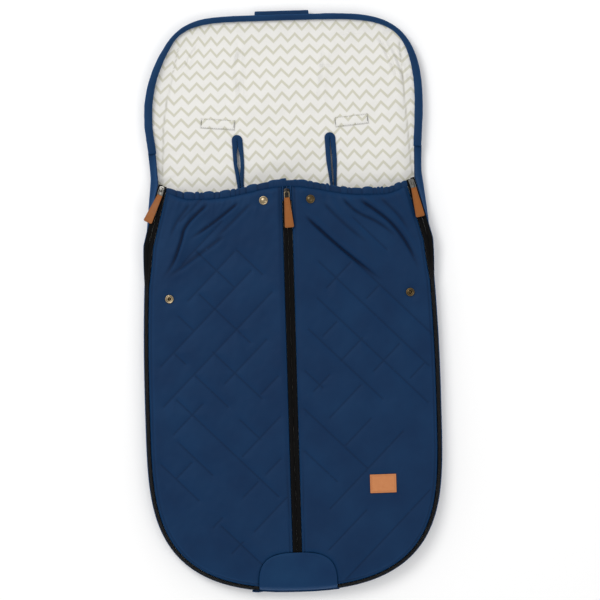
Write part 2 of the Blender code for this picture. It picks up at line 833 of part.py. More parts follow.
def quilt_plan(points, side):
    """A flat mesh of the panel, cut along its stitch lines."""
    sign = SIDES[side]
    bm = bmesh.new()
    face = bm.faces.new([bm.verts.new((sign * x, y, 0.0)) for x, y in points])
    rim = bmesh.ops.inset_region(
        bm, faces=[face], thickness=QUILT_MARGIN, use_even_offset=True
    )["faces"]
    first, second = QUILT_PHASE[side]
    reach = math.ceil(BODY_LENGTH / QUILT_PITCH)
    for offset, normal in ((first, (1, -1, 0)), (second, (1, 1, 0))):
        across = Vector(normal).normalized()
        for k in range(-reach, reach + 1):
            inner = [f for f in bm.faces if f not in rim]
            edges = {e for f in inner for e in f.edges}
            verts = {v for f in inner for v in f.verts}
            bmesh.ops.bisect_plane(
                bm,
                geom=[*verts, *edges, *inner],
                plane_co=across * (offset + k * QUILT_PITCH),
                plane_no=across,
                dist=1e-5,
            )
    open_edges = []
    for edge in bm.edges:
        if len(edge.link_faces) == 2 and not set(edge.link_faces) & set(rim):
            cells = [
                quilt_cell(*f.calc_center_median().xy, side) for f in edge.link_faces
            ]
            if sewn_together(*cells):
                open_edges.append(edge)
    bmesh.ops.dissolve_edges(bm, edges=open_edges, use_verts=False)
    return bm, [f for f in bm.faces if f not in rim]


def flatness(x, y):
    """0 under a snap or the leather patch, where the quilting is pressed down."""
    gaps = [math.dist((abs(x), y), spot) for spot in (UPPER_SNAP, LOWER_SNAP)]
    gaps.append(math.dist((x, y), LABEL_CENTRE) - LABEL_WIDTH / 2)
    return smooth((min(gaps) - SNAP_RADIUS) / (2 * SNAP_RADIUS))


def panel(name, plan, top, bottom, material, parent):
    """A panel between two drops below the stitch lines."""
    bmesh.ops.triangulate(plan, faces=plan.faces[:])
    relief = plan.verts.layers.float.get("relief")
    lower = list(plan.verts)
    raised = bmesh.ops.extrude_face_region(plan, geom=plan.faces[:])["geom"]
    upper = {v for v in raised if isinstance(v, bmesh.types.BMVert)}
    for vert in lower:
        vert.co.z = cover_z(vert.co.x, vert.co.y) - bottom
    for vert in upper:
        lift = vert[relief] if relief else 0.0
        vert.co.z = cover_z(vert.co.x, vert.co.y) - top + lift
    return add_object(name, plan, material, parent)


def convex(face):
    """Whether the whole outline of a face can be drawn in towards its middle."""
    corners = [vert.co.xy for vert in face.verts]
    turns = []
    for k, corner in enumerate(corners):
        before = corner - corners[k - 1]
        after = corners[(k + 1) % len(corners)] - corner
        turns.append(before.cross(after))
    slack = CLEARANCE**2
    return min(turns) > -slack or max(turns) < slack


def quilted_shell(name, points, side, parent):
    """The outer cloth, puffed between its stitch lines."""
    plan, cells = quilt_plan(points, side)
    relief = plan.verts.layers.float.new("relief")
    full = QUILT_PITCH**2
    for face in cells:
        share = min(face.calc_area() / full, 1.0)
        if share < 0.15 or not convex(face):
            continue
        middle = face.calc_center_median()
        bmesh.ops.inset_individual(plan, faces=[face], thickness=0.0)
        for vert in face.verts:
            vert.co = middle + (vert.co - middle) * PILLOW_FACE
            puff = PILLOW_HEIGHT * math.sqrt(share)
            vert[relief] = puff * flatness(vert.co.x, vert.co.y)
    return panel(name, plan, 0.0, COVER_SHELL, navy_cloth, parent)


def layered_panel(prefix, points, side, parent):
    shell = quilted_shell(f"{prefix}_shell_{side}", points, side, parent)
    drop = COVER_SHELL + WADDING_DROP
    plan, _ = quilt_plan(points, side)
    panel(
        f"{prefix}_wadding_{side}",
        plan,
        drop,
        drop + COVER_WADDING,
        polyester_wadding,
        parent,
    )
    drop += COVER_WADDING + CLEARANCE
    plan, _ = quilt_plan(points, side)
    panel(
        f"{prefix}_lining_{side}",
        plan,
        drop,
        drop + COVER_LINING,
        printed_lining,
        parent,
    )
    return shell


def hem_tube(grow_y, grow_z, side):
    """Rings along the hem: a rectangle shrunk by two margins."""
    sign = SIDES[side]
    rings = []
    for x in hem_stations():
        y = hem_y(x)
        z = cover_z(x, y)
        low_y, high_y = y - CASING_DEPTH + grow_y, y - grow_y
        low_z, high_z = z - CASING_BELOW + grow_z, z + CASING_ABOVE - grow_z
        rings.append(
            [
                (sign * x, low_y, low_z),
                (sign * x, high_y, low_z),
                (sign * x, high_y, high_z),
                (sign * x, low_y, high_z),
            ]
        )
    return rings


def hem(side):
    """The gathered casing, open at both ends, and the elastic inside it."""
    outer = hem_tube(0.0, 0.0, side)
    inner = hem_tube(CASING_WALL, CASING_WALL, side)
    bm = bmesh.new()
    walls = []
    for rings in (outer, inner):
        rows = [[bm.verts.new(p) for p in ring] for ring in rings]
        for here, there in zip(rows, rows[1:]):
            for i in range(4):
                j = (i + 1) % 4
                bm.faces.new((here[i], here[j], there[j], there[i]))
        walls.append(rows)
    for end in (0, -1):
        out_row, in_row = walls[0][end], walls[1][end]
        for i in range(4):
            j = (i + 1) % 4
            bm.faces.new((out_row[i], out_row[j], in_row[j], in_row[i]))
    add_object("hem_casing_" + side, bm, navy_cloth, AXES["lapel_" + side])
    middle = (CASING_ABOVE + CASING_BELOW) / 2
    band = hem_tube(CASING_WALL + CLEARANCE, middle - ELASTIC_THICKNESS / 2, side)
    add_object(
        "hem_elastic_" + side, loft(band), white_elastic, AXES["lapel_" + side]
    )


def foot_patch():
    """The arched patch over the ends of the zips."""
    arch = arch_line()
    reach = ZIP_BAND_HALF + CLEARANCE
    top_z = cover_z(PATCH_HALF_WIDTH, arch[-1][1])
    rise = math.sin(math.radians(SIDE_ZIP_TILT)) * reach * 2
    run = math.cos(math.radians(SIDE_ZIP_TILT)) * reach * 2
    rings = []
    stations = [(-x, y) for x, y in reversed(arch[1:])] + arch
    for x, arch_y in stations:
        edge_y = float(np.interp(abs(x), FOOT_EDGE_X, FOOT_EDGE_Y))
        upper, lower = [], []
        depth = max(arch_y - edge_y, CLEARANCE)
        inward = min(PATCH_THICKNESS / 2, depth * 0.15)
        for share_y in (1.0, 0.5, 0.2):
            y = edge_y + depth * share_y
            z = cover_z(x, y) + PATCH_PROUD
            upper.append((x, y, z))
            lower.append((x, y, z - PATCH_THICKNESS))
        z = top_z + PATCH_PROUD
        upper.append((x, edge_y, z))
        lower.append((x, edge_y + inward, z - PATCH_THICKNESS))
        upper.append((x, edge_y - run, z - rise))
        lower.append((x, edge_y - run + PATCH_THICKNESS / 2, z - rise))
        rings.append(upper + lower[::-1])
    return add_object("foot_patch", loft(rings), navy_cloth, AXES["cover"])


def centre_zip_half(name, run, sign, parent):
    """Half of the centre zip; run holds (y, tape only) pairs."""
    rings = []
    for y, tape_only in run:
        z = crown_z(y) - ZIP_COIL_HALF_HEIGHT
        section = zip_half_section(tape_only)
        rings.append([(sign * x, y, z + above) for x, above in section])
    return add_object(name, loft(rings), black_tape, parent)


def centre_zip():
    low = Y_CROWN_FOOT + 2 * CLEARANCE
    fold = fold_y(ZIP_BAND_HALF, -CLEARANCE)
    start = fold + FOLD_TAPE_KEEP
    coil = fold_y(ZIP_COIL_INNER, FOLD_COIL_KEEP)
    top = CENTRE_SLIDER_TOP - SLIDER_LENGTH - CLEARANCE
    for side, sign in SIDES.items():
        run = ((low, False), (fold, False))
        centre_zip_half("centre_zip_half_" + side, run, sign, AXES["cover"])
        lapel = AXES["lapel_" + side]
        run = ((start, True), (coil - CLEARANCE, True), (coil, False), (top, False))
        centre_zip_half("lapel_zip_half_" + side, run, sign, lapel)


def turned(name, profile, material, frame, parent):
    """A turned piece: (radius, height) pairs from the top axis point down."""
    steps = 12
    bm = bmesh.new()
    verts = [bm.verts.new((radius, 0.0, height)) for radius, height in profile]
    edges = [bm.edges.new(pair) for pair in zip(verts, verts[1:])]
    bmesh.ops.spin(
        bm,
        geom=verts + edges,
        axis=(0, 0, 1),
        cent=(0, 0, 0),
        angle=2 * math.pi,
        steps=steps,
        use_merge=True,
    )
    bmesh.ops.remove_doubles(bm, verts=bm.verts, dist=1e-6)
    bmesh.ops.transform(bm, matrix=frame, verts=bm.verts)
    obj = add_object(name, bm, material, parent)
    obj.data.set_sharp_from_angle(angle=math.radians(30))
    return obj


def surface_frame(x, y, drop):
    """A frame standing square on the cover at this place."""
    step = SNAP_RADIUS
    slope_x = (cover_z(x + step, y) - cover_z(x - step, y)) / (2 * step)
    slope_y = (cover_z(x, y + step) - cover_z(x, y - step)) / (2 * step)
    up = Vector((-slope_x, -slope_y, 1.0)).normalized()
    turn = Vector((0, 0, 1)).rotation_difference(up).to_matrix().to_4x4()
    place = Vector((x, y, cover_z(x, y))) - up * drop
    return Matrix.Translation(place) @ turn


def snap(side, level, spot, shell, parent):
    """A press stud: a domed cap or a ringed socket, and its washer inside."""
    x, y = SIDES[side] * spot[0], spot[1]
    frame = surface_frame(x, y, -2 * CLEARANCE)
    r, h = SNAP_RADIUS, SNAP_HEIGHT
    if level == "upper":
        profile = [(0, h), (0.55 * r, 0.92 * h), (0.9 * r, 0.5 * h), (r, 0), (0, 0)]
        name = "snap_cap_" + side
    else:
        profile = [
            (0, 0.35 * h),
            (0.4 * r, 0.35 * h),
            (0.5 * r, 0.8 * h),
            (0.85 * r, 0.8 * h),
            (r, 0),
            (0, 0),
        ]
        name = "snap_socket_" + side
    turned(name, profile, brass, frame, parent)
    seat = bmesh.new()
    bmesh.ops.create_cone(
        seat,
        cap_ends=True,
        segments=16,
        radius1=SNAP_RADIUS + CLEARANCE,
        radius2=SNAP_RADIUS + CLEARANCE,
        depth=2 * PILLOW_HEIGHT,
        matrix=frame @ Matrix.Translation((0, 0, PILLOW_HEIGHT - CLEARANCE)),
    )
    cutter = add_helper(f"snap_seat_{level}_{side}", seat)
    boolean(shell, cutter, "DIFFERENCE")
    under = COVER_SHELL + WADDING_DROP + COVER_WADDING + CLEARANCE + COVER_LINING
    frame = surface_frame(x, y, under + 2 * CLEARANCE + SNAP_BACK_HEIGHT)
    r, h = SNAP_BACK_RADIUS, SNAP_BACK_HEIGHT
    profile = [(0, h), (r, h), (0.85 * r, 0), (0, 0)]
    turned(f"snap_washer_{level}_{side}", profile, brass, frame, parent)


def label_block(grow, low, high):
    """A block over the leather patch's place, between two heights off the cover."""
    bm = bmesh.new()
    bmesh.ops.create_grid(bm, x_segments=3, y_segments=2, size=0.5)
    matrix = Matrix.Translation((*LABEL_CENTRE, 0.0)) @ Matrix.Diagonal(
        (LABEL_WIDTH + 2 * grow, LABEL_LENGTH + 2 * grow, 1.0, 1.0)
    )
    bmesh.ops.transform(bm, matrix=matrix, verts=bm.verts)
    lower = list(bm.verts)
    raised = bmesh.ops.extrude_face_region(bm, geom=bm.faces[:])["geom"]
    upper = {v for v in raised if isinstance(v, bmesh.types.BMVert)}
    for vert in lower:
        vert.co.z = cover_z(vert.co.x, vert.co.y) + low
    for vert in upper:
        vert.co.z = cover_z(vert.co.x, vert.co.y) + high
    return bm


def leather_label(shell):
    """The plain leather patch, let into the puffed cloth."""
    label = label_block(0.0, LABEL_GAP, LABEL_GAP + LABEL_THICKNESS)
    add_object("leather_label", label, tan_leather, AXES["cover"])
    seat = label_block(CLEARANCE, LABEL_GAP - CLEARANCE, 2 * PILLOW_HEIGHT)
    boolean(shell, add_helper("label_seat", seat), "DIFFERENCE")


def cuboid(low, high):
    bm = bmesh.new()
    bmesh.ops.create_cube(bm, size=1.0)
    size = [b - a for a, b in zip(low, high)]
    middle = [(a + b) / 2 for a, b in zip(low, high)]
    matrix = Matrix.Translation(middle) @ Matrix.Diagonal((*size, 1.0))
    bmesh.ops.transform(bm, matrix=matrix, verts=bm.verts)
    return bm


def moved(bm, frame):
    bmesh.ops.transform(bm, matrix=frame, verts=bm.verts)
    return bm


def plate(low_z, high_z):
    """A slider plate with rounded corners, its top end at the local origin."""
    bm = cuboid(
        (-SLIDER_WIDTH / 2, -SLIDER_LENGTH, low_z), (SLIDER_WIDTH / 2, 0.0, high_z)
    )
    upright = [e for e in bm.edges if abs(e.verts[0].co.z - e.verts[1].co.z) > 1e-5]
    bmesh.ops.bevel(
        bm,
        geom=upright,
        offset=SLIDER_WIDTH / 4,
        segments=3,
        profile=0.5,
        affect="EDGES",
        material=-1,
    )
    return bm


def crown():
    """The arch on the slider that holds the pull."""
    half = CROWN_LENGTH / 2
    low = SLIDER_TOP - CLEARANCE
    high = SLIDER_TOP + CROWN_HEIGHT
    outer = [(-half, low), (-half, high - half / 3), (-half / 2, high)]
    outer += [(-y, z) for y, z in reversed(outer)]
    inner_half = half - CROWN_WALL
    inner = [(inner_half, low), (inner_half, high - half / 3)]
    inner += [(half / 2 - CROWN_WALL / 2, high - CROWN_WALL)]
    inner += [(-y, z) for y, z in reversed(inner)]
    bm = bmesh.new()
    profile = outer + inner
    face = bm.faces.new(
        [bm.verts.new((-CROWN_WIDTH / 2, y - PIVOT_BACK, z)) for y, z in profile]
    )
    raised = bmesh.ops.extrude_face_region(bm, geom=[face])["geom"]
    verts = [v for v in raised if isinstance(v, bmesh.types.BMVert)]
    bmesh.ops.translate(bm, vec=(CROWN_WIDTH, 0, 0), verts=verts)
    return bm


def slider(name, frame, parent):
    """Two plates joined by the divider blade, with the crown on top."""
    obj = add_object(
        name, moved(plate(SLIDER_INNER, SLIDER_TOP), frame), nickel, parent
    )
    lower = moved(plate(-SLIDER_TOP, -SLIDER_INNER), frame)
    blade = cuboid(
        (-SLIDER_BLADE / 2, -SLIDER_BLADE_LENGTH, -SLIDER_TOP + CLEARANCE),
        (SLIDER_BLADE / 2, -SLIDER_WIDTH / 8, SLIDER_TOP - CLEARANCE),
    )
    boolean(obj, add_helper(name + "_blade", moved(blade, frame)), "UNION")
    boolean(obj, add_helper(name + "_lower", lower), "UNION")
    boolean(obj, add_helper(name + "_crown", moved(crown(), frame)), "UNION")


def pull_link(name, frame, parent):
    """A wire loop from the slider's crown to the leather tab."""
    curve = bpy.data.curves.new(name, "CURVE")
    curve.dimensions = "3D"
    curve.bevel_depth = LINK_WIRE
    curve.bevel_resolution = 1
    spline = curve.splines.new("POLY")
    half = LINK_WIDTH / 2
    corner = LINK_WIRE * 1.6
    near, far = 0.0, -LINK_LENGTH
    points = [
        (-half + corner, near),
        (half - corner, near),
        (half, near - corner),
        (half, far + corner),
        (half - corner, far),
        (-half + corner, far),
        (-half, far + corner),
        (-half, near - corner),
    ]
    spline.points.add(len(points) - 1)
    for point, (x, y) in zip(spline.points, points):
        point.co = (x, y, 0.0, 1.0)
    spline.use_cyclic_u = True
    guide = bpy.data.objects.new(name + "_guide", curve)
    CUTTERS.objects.link(guide)
    bpy.context.view_layer.update()
    graph = bpy.context.evaluated_depsgraph_get()
    mesh = bpy.data.meshes.new_from_object(guide.evaluated_get(graph))
    bpy.data.objects.remove(guide, do_unlink=True)
    bm = bmesh.new()
    bm.from_mesh(mesh)
    bpy.data.meshes.remove(mesh)
    bmesh.ops.remove_doubles(bm, verts=bm.verts, dist=1e-6)
    pivot = frame @ Matrix.Translation((0, -PIVOT_BACK, PIVOT_HEIGHT))
    return add_object(name, moved(bm, pivot), nickel, parent)


def pull_tab(name, frame, parent):
    """The leather tab, with a bore across its top for the link."""
    hole = LINK_WIRE + CLEARANCE
    top = -LINK_LENGTH + hole + CROWN_WALL
    low = top - TAB_LENGTH
    half_top, half_low = TAB_WIDTH_TOP / 2, TAB_WIDTH_BOTTOM / 2
    slot = LINK_WIDTH / 2 + LINK_WIRE + CLEARANCE
    ear = -LINK_LENGTH - hole - CROWN_WALL
    outline = [
        (-slot + 2 * LINK_WIRE + 3 * CLEARANCE, top),
        (slot - 2 * LINK_WIRE - 3 * CLEARANCE, top),
        (slot - 2 * LINK_WIRE - 3 * CLEARANCE, ear),
        (half_top, ear),
        (half_low, low + half_low / 3),
        (half_low * 0.75, low),
        (-half_low * 0.75, low),
        (-half_low, low + half_low / 3),
        (-half_top, ear),
        (-slot + 2 * LINK_WIRE + 3 * CLEARANCE, ear),
    ]
    bm = bmesh.new()
    face = bm.faces.new(
        [bm.verts.new((x, y, -TAB_THICKNESS / 2)) for x, y in outline]
    )
    raised = bmesh.ops.extrude_face_region(bm, geom=[face])["geom"]
    verts = [v for v in raised if isinstance(v, bmesh.types.BMVert)]
    bmesh.ops.translate(bm, vec=(0, 0, TAB_THICKNESS), verts=verts)
    pivot = frame @ Matrix.Translation((0, -PIVOT_BACK, PIVOT_HEIGHT))
    obj = add_object(name, moved(bm, pivot), tan_leather, parent)
    bore = bmesh.new()
    bmesh.ops.create_cone(
        bore,
        cap_ends=True,
        segments=10,
        radius1=hole,
        radius2=hole,
        depth=2 * TAB_WIDTH_TOP,
        matrix=Matrix.Translation((0, -LINK_LENGTH, 0))
        @ Matrix.Rotation(math.pi / 2, 4, "Y"),
    )
    boolean(obj, add_helper(name + "_bore", moved(bore, pivot)), "DIFFERENCE")


def centre_slider_frame():
    """At the top end of the slider: Y up the zip, Z off its face."""
    slope = crown_z(1.0) - crown_z(0.0)
    turn = Matrix.Rotation(math.atan(slope), 4, "X")
    z = crown_z(CENTRE_SLIDER_TOP) - ZIP_COIL_HALF_HEIGHT
    return Matrix.Translation((0.0, CENTRE_SLIDER_TOP, z)) @ turn


def side_slider_frame(sign):
    stations = side_zip_stations()
    low, high = stations[-3], stations[-1]
    share = (SIDE_SLIDER_TOP - low[0].y) / (high[0].y - low[0].y)
    station = between(low, high, share)
    along = (high[0] - low[0]).normalized()
    forward = Vector((sign * along.x, along.y, 0.0))
    face = zip_point(station, 0.0, 1.0, sign) - zip_point(station, 0.0, 0.0, sign)
    across = forward.cross(face).normalized()
    turn = Matrix((across, forward, face)).transposed().to_4x4()
    return Matrix.Translation(zip_point(station, 0.0, 0.0, sign)) @ turn


def zip_hardware(place, frame, parent):
    slide = add_axis("slider_axis_" + place, frame.translation, parent)
    slider("slider_" + place, frame, slide)
    pivot = frame @ Vector((0, -PIVOT_BACK, PIVOT_HEIGHT))
    swing = add_axis("pull_axis_" + place, pivot, slide)
    pull_link("pull_link_" + place, frame, swing)
    pull_tab("pull_tab_" + place, frame, swing)


def fold_axis_ends(sign):
    """Two points on the lapel's fold axis, outer end first."""
    corner_x, corner_y = edge_meets_fold(0.0)
    centre_y = fold_y(CENTRE_EDGE, 0.0)
    outer = (sign * corner_x, corner_y, cover_z(corner_x, corner_y) + FOLD_AXIS_LIFT)
    inner = (
        sign * CENTRE_EDGE,
        centre_y,
        cover_z(CENTRE_EDGE, centre_y) + FOLD_AXIS_LIFT,
    )
    return Vector(outer), Vector(inner)


def make_axes():
    AXES["cover"] = add_axis("cover_axis", (0.0, Y_FOOT, COVER_AXIS_Z))
    for side, sign in SIDES.items():
        outer, inner = fold_axis_ends(sign)
        AXES["lapel_" + side] = add_axis(
            f"lapel_axis_{side}", (outer + inner) / 2, AXES["cover"]
        )


def main():
    make_axes()
    make_back()
    for side, sign in SIDES.items():
        belt_guide("belt_guide_" + side, sign)
        side_gusset("side_gusset_" + side, sign)
        cover = layered_panel("cover", cover_plan(), side, AXES["cover"])
        lapel = layered_panel("lapel", lapel_plan(), side, AXES["lapel_" + side])
        hem(side)
        snap(side, "upper", UPPER_SNAP, lapel, AXES["lapel_" + side])
        snap(side, "lower", LOWER_SNAP, cover, AXES["cover"])
        zip_hardware(side, side_slider_frame(sign), None)
    hood_binding()
    end_tabs()
    side_zips()
    centre_zip()
    foot_patch()
    leather_label(bpy.data.objects["cover_shell_right"])
    zip_hardware("centre", centre_slider_frame(), AXES["cover"])


clear_scene()
PARTS = new_collection("stroller_footmuff")
CUTTERS = new_collection("cutters")
AXES = {}
EDGE = cover_edge_line()
EDGE_X = [p.x for p in EDGE]
EDGE_Y = [p.y for p in EDGE]
EDGE_Z = [p.z for p in EDGE]
FOOT_EDGE_X = EDGE_X[: FOOT_STEPS]
FOOT_EDGE_Y = EDGE_Y[: FOOT_STEPS]
COVER_AXIS_Z = zip_point(side_zip_stations()[0], -ZIP_BAND_HALF, 0.0).z
main()
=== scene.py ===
# %% [markdown]
# # A quilted stroller footmuff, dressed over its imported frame
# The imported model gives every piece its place, so this script only has to give the looks.
# Cloth is made as bent grids whose height is worked out from the real object's seams,
# metal and leather are made with the bmesh operators, and every finish is a node material.

import math

import bmesh
import bpy
import numpy as np
from mathutils import Matrix, Vector


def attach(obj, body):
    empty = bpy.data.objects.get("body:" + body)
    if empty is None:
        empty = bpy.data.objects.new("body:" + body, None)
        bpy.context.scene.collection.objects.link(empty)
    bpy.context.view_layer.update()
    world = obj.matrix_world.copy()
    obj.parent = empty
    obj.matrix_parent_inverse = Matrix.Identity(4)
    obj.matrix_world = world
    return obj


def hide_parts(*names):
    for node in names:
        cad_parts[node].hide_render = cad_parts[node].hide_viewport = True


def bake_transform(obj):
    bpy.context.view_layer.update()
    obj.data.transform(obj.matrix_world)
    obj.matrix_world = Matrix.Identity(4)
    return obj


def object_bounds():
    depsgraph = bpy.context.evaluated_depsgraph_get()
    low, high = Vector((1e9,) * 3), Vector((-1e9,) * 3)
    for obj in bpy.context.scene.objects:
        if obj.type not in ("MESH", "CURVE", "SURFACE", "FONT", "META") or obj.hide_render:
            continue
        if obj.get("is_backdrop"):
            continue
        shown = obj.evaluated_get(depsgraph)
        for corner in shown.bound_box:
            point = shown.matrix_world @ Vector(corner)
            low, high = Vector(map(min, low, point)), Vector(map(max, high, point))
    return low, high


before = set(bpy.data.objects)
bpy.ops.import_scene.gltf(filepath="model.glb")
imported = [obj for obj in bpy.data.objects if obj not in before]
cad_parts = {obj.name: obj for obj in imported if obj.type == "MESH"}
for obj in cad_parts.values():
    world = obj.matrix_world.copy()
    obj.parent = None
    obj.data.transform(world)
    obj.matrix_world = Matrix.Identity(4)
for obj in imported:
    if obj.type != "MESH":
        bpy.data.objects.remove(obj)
CAD_BOX = [list(corner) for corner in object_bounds()]

# %% [markdown]
# ## The sizes of the sewing pattern
# The frame was built from a few measured sizes. The visible cloth needs the same ones,
# only with many more points, so they are given here once more, in metres.

# %% Sizes of the footmuff
Y_FOOT, Y_HEAD = -0.4985, 0.4935
FOOT_HALF, WAIST_HALF, HOOD_HALF = 0.254, 0.232, 0.2385
FOOT_ROUND, HEAD_ROUND, WAIST_FROM_FOOT = 0.330, 0.150, 0.716
FOOT_POWERS, HEAD_POWERS = (2.5, 4.05), (5.0, 2.4)
RIM, BACK_TOP, BINDING_END = 0.014, 0.0106, 0.262
BAND, TAPE, COIL_OUT, COIL_HIGH = 0.0075, 0.00035, 0.0022, 0.0009
EDGE, SEAT = BAND + 0.0003, TAPE + 0.0003
ZIP_INSET, ZIP_LOW, ZIP_RISE, ZIP_HIGH = 0.0041, 0.0285, 0.0025, 0.031
ZIP_LEAVES_RIM, ZIP_TURNS, ZIP_STRAIGHT = 0.030, 0.070, 0.100
ZIP_TOP = (WAIST_HALF - 0.020, 0.205)
TILT_LOW, TILT_HIGH = math.radians(65.0), math.radians(10.0)
HEM_Y, CASING = 0.191, 0.013
CROWN_FOOT_Y, FAN_Y = Y_FOOT + 0.068, Y_FOOT + 0.082
CROWN_LOW, CROWN_HIGH = 0.045, 0.056
SIDES = {"left": -1, "right": 1}
UPPER_SNAP, LOWER_SNAP = (0.040, 0.173), (0.206, 0.0095)
PATCH_MIDDLE, PATCH_WIDE, PATCH_LONG = (0.150, -0.316), 0.045, 0.032
GUIDE_MIDDLE, GUIDE_LONG, GUIDE_WIDE = (0.115, 0.3085), 0.058, 0.017
print("back is", round((Y_HEAD - Y_FOOT) * 1000), "mm long")

# %% [markdown]
# ## The outline of the back
# Seen from above the back is a long bag: broad and round at the foot, narrowest at the
# waist, with two rounded shoulders at the hood. Three simple curves give half its width.


# %% Outline of the back
def smooth(t):
    """From 0 to 1, level at both ends."""
    t = np.clip(t, 0.0, 1.0)
    return t * t * (3 - 2 * t)


def bell(gap, width):
    """1 where the gap is 0, and nearly 0 from twice the width on."""
    return np.exp(-((gap / width) ** 2))


def half_width(y):
    """Half the width of the back at this place along it; y may be an array."""
    y = np.asarray(y, float)
    foot = np.clip(1 - (y - Y_FOOT) / FOOT_ROUND, 0, 1) ** FOOT_POWERS[1]
    head = np.clip(1 - (Y_HEAD - y) / HEAD_ROUND, 0, 1) ** HEAD_POWERS[1]
    share = np.clip((y - Y_FOOT - FOOT_ROUND) / (WAIST_FROM_FOOT - FOOT_ROUND), 0, 1)
    waist = FOOT_HALF - (FOOT_HALF - WAIST_HALF) * share**2.2
    reach = Y_HEAD - HEAD_ROUND - Y_FOOT - WAIST_FROM_FOOT
    rise = smooth((y - Y_FOOT - WAIST_FROM_FOOT) / reach)
    wide = waist + (HOOD_HALF - WAIST_HALF) * rise
    return wide * (1 - foot) ** (1 / FOOT_POWERS[0]) * (1 - head) ** (1 / HEAD_POWERS[0])


def rounded_end(half, turn, powers):
    """Shares of the width and of the length round a broad end."""
    across = half * np.sin(turn) ** (2 / powers[0])
    return across, 1 - np.maximum(np.cos(turn), 0) ** (2 / powers[1])


def right_outline():
    """Points of the right edge, from the foot's middle to the head's middle."""
    foot_x, foot_share = rounded_end(FOOT_HALF, np.linspace(0, np.pi / 2, 45), FOOT_POWERS)
    side_y = np.linspace(Y_FOOT + FOOT_ROUND, Y_HEAD - HEAD_ROUND, 32)[1:-1]
    head_x, head_share = rounded_end(HOOD_HALF, np.linspace(np.pi / 2, 0, 27), HEAD_POWERS)
    x = np.concatenate([foot_x, half_width(side_y), head_x])
    ends = Y_FOOT + FOOT_ROUND * foot_share, Y_HEAD - HEAD_ROUND * head_share
    return np.stack([x, np.concatenate([ends[0], side_y, ends[1]])], 1)


def outward(path, closed=False):
    """Unit normals of a plan path, pointing right of the way it runs."""
    if closed:
        tangent = np.roll(path, -1, 0) - np.roll(path, 1, 0)
    else:
        tangent = np.gradient(path, axis=0)
    tangent /= np.linalg.norm(tangent, axis=1)[:, None]
    return np.stack([tangent[:, 1], -tangent[:, 0]], 1)


OUTLINE = right_outline()
print("outline:", len(OUTLINE), "points, widest", round(OUTLINE[:, 0].max() * 2000), "mm")

# %% [markdown]
# ## The side zips and the height of the cover
# Each side zip starts under the foot patch, follows the rim round the foot, then leaves it
# and climbs inwards to the hem. It lies steeply on its side round the foot and almost flat at
# its top. The cover is stretched from these two zips up to the centre zip, so its height
# follows from how far across a point lies between them.


# %% Side zip line
def zip_stations():
    """Rows of x, y, normal x, normal y, height, tilt along the right side zip."""
    normals = outward(OUTLINE)
    normals[0] = (0, -1)
    rows = []
    for p, n in zip(OUTLINE, normals):
        if p[1] > ZIP_LEAVES_RIM - CASING / 2:
            break
        rows.append((*(p - n * ZIP_INSET), *n, ZIP_LOW, TILT_LOW))
    low = np.array([float(half_width(ZIP_STRAIGHT)) - ZIP_INSET, ZIP_STRAIGHT])
    top = np.array(ZIP_TOP)
    straight = np.array([top[1] - low[1], low[0] - top[0]])
    straight /= np.linalg.norm(straight)
    for share in np.linspace(0, 1, 13)[:-1]:
        y = ZIP_LEAVES_RIM + ZIP_TURNS * share
        n = np.array([1.0, 0.0]) * (1 - share) + straight * share
        n /= np.linalg.norm(n)
        tilt = TILT_LOW + (TILT_HIGH - TILT_LOW) * share
        x = float(half_width(y)) - ZIP_INSET
        rows.append((x, y, *n, ZIP_LOW + ZIP_RISE * share, tilt))
    for share in np.linspace(0, 1, 13):
        rows.append((*(low + (top - low) * share), *straight, ZIP_HIGH, TILT_HIGH))
    return np.array(rows)


def zip_point(rows, across, above, sign=1):
    """Points on the zip band: across towards the cover, above its face."""
    out = -across * np.cos(rows[:, 5]) + above * np.sin(rows[:, 5])
    up = across * np.sin(rows[:, 5]) + above * np.cos(rows[:, 5])
    x = rows[:, 0] + rows[:, 2] * out
    return np.stack([sign * x, rows[:, 1] + rows[:, 3] * out, rows[:, 4] + up], 1)


STATIONS = zip_stations()
SEWN = zip_point(STATIONS, EDGE, -SEAT)
SEWN[0, 0] = 0.0
print("side zip:", len(STATIONS), "stations")


# %% Height of the cover
def edge_half(y):
    """Half the width of the cover at its sewn edge."""
    return np.interp(y, SEWN[:, 1], SEWN[:, 0])


def crown_z(y):
    """Height of the centre zip, which climbs evenly towards the hem."""
    slope = (CROWN_HIGH - CROWN_LOW) / (HEM_Y - CROWN_FOOT_Y)
    return CROWN_LOW + slope * (y - CROWN_FOOT_Y)


def reach_share(x, y):
    """0 on the centre line, 1 on the sewn edge."""
    x = np.abs(x)
    plain = np.minimum(x / edge_half(np.maximum(y, FAN_Y)), 1)
    low, high = np.full(x.shape, 1e-3), np.ones(x.shape)
    for _ in range(24):
        share = (low + high) / 2
        scaled = FAN_Y + (y - FAN_Y) / share
        outside = (scaled < SEWN[0, 1]) | (x / share > edge_half(scaled))
        low, high = np.where(outside, share, low), np.where(outside, high, share)
    return np.where(y >= FAN_Y, plain, high)


def cover_z(x, y):
    """Height of the cover's stitch lines; it is rounder across towards the foot."""
    x, y = np.asarray(x, float), np.asarray(y, float)
    along = np.maximum(y, FAN_Y)
    edge_z = np.interp(along, SEWN[:, 1], SEWN[:, 2])
    power = 1 + 1.6 * smooth((-0.035 - y) / (-0.035 + 0.200))
    return edge_z + (crown_z(along) - edge_z) * (1 - reach_share(x, y) ** power)


def hem_y(x):
    """Top edge of the cover across its width: higher at the middle and at both ends."""
    x = np.abs(x)
    centre = np.cos(np.pi / 2 * np.minimum(x / 0.130, 1)) ** 2
    outer = smooth((x - 0.165) / (ZIP_TOP[0] - 0.165))
    return HEM_Y + 0.017 * centre + 0.011 * outer


print("cover is", round(float(cover_z(0.01, 0.0)) * 1000, 1), "mm high at its middle")

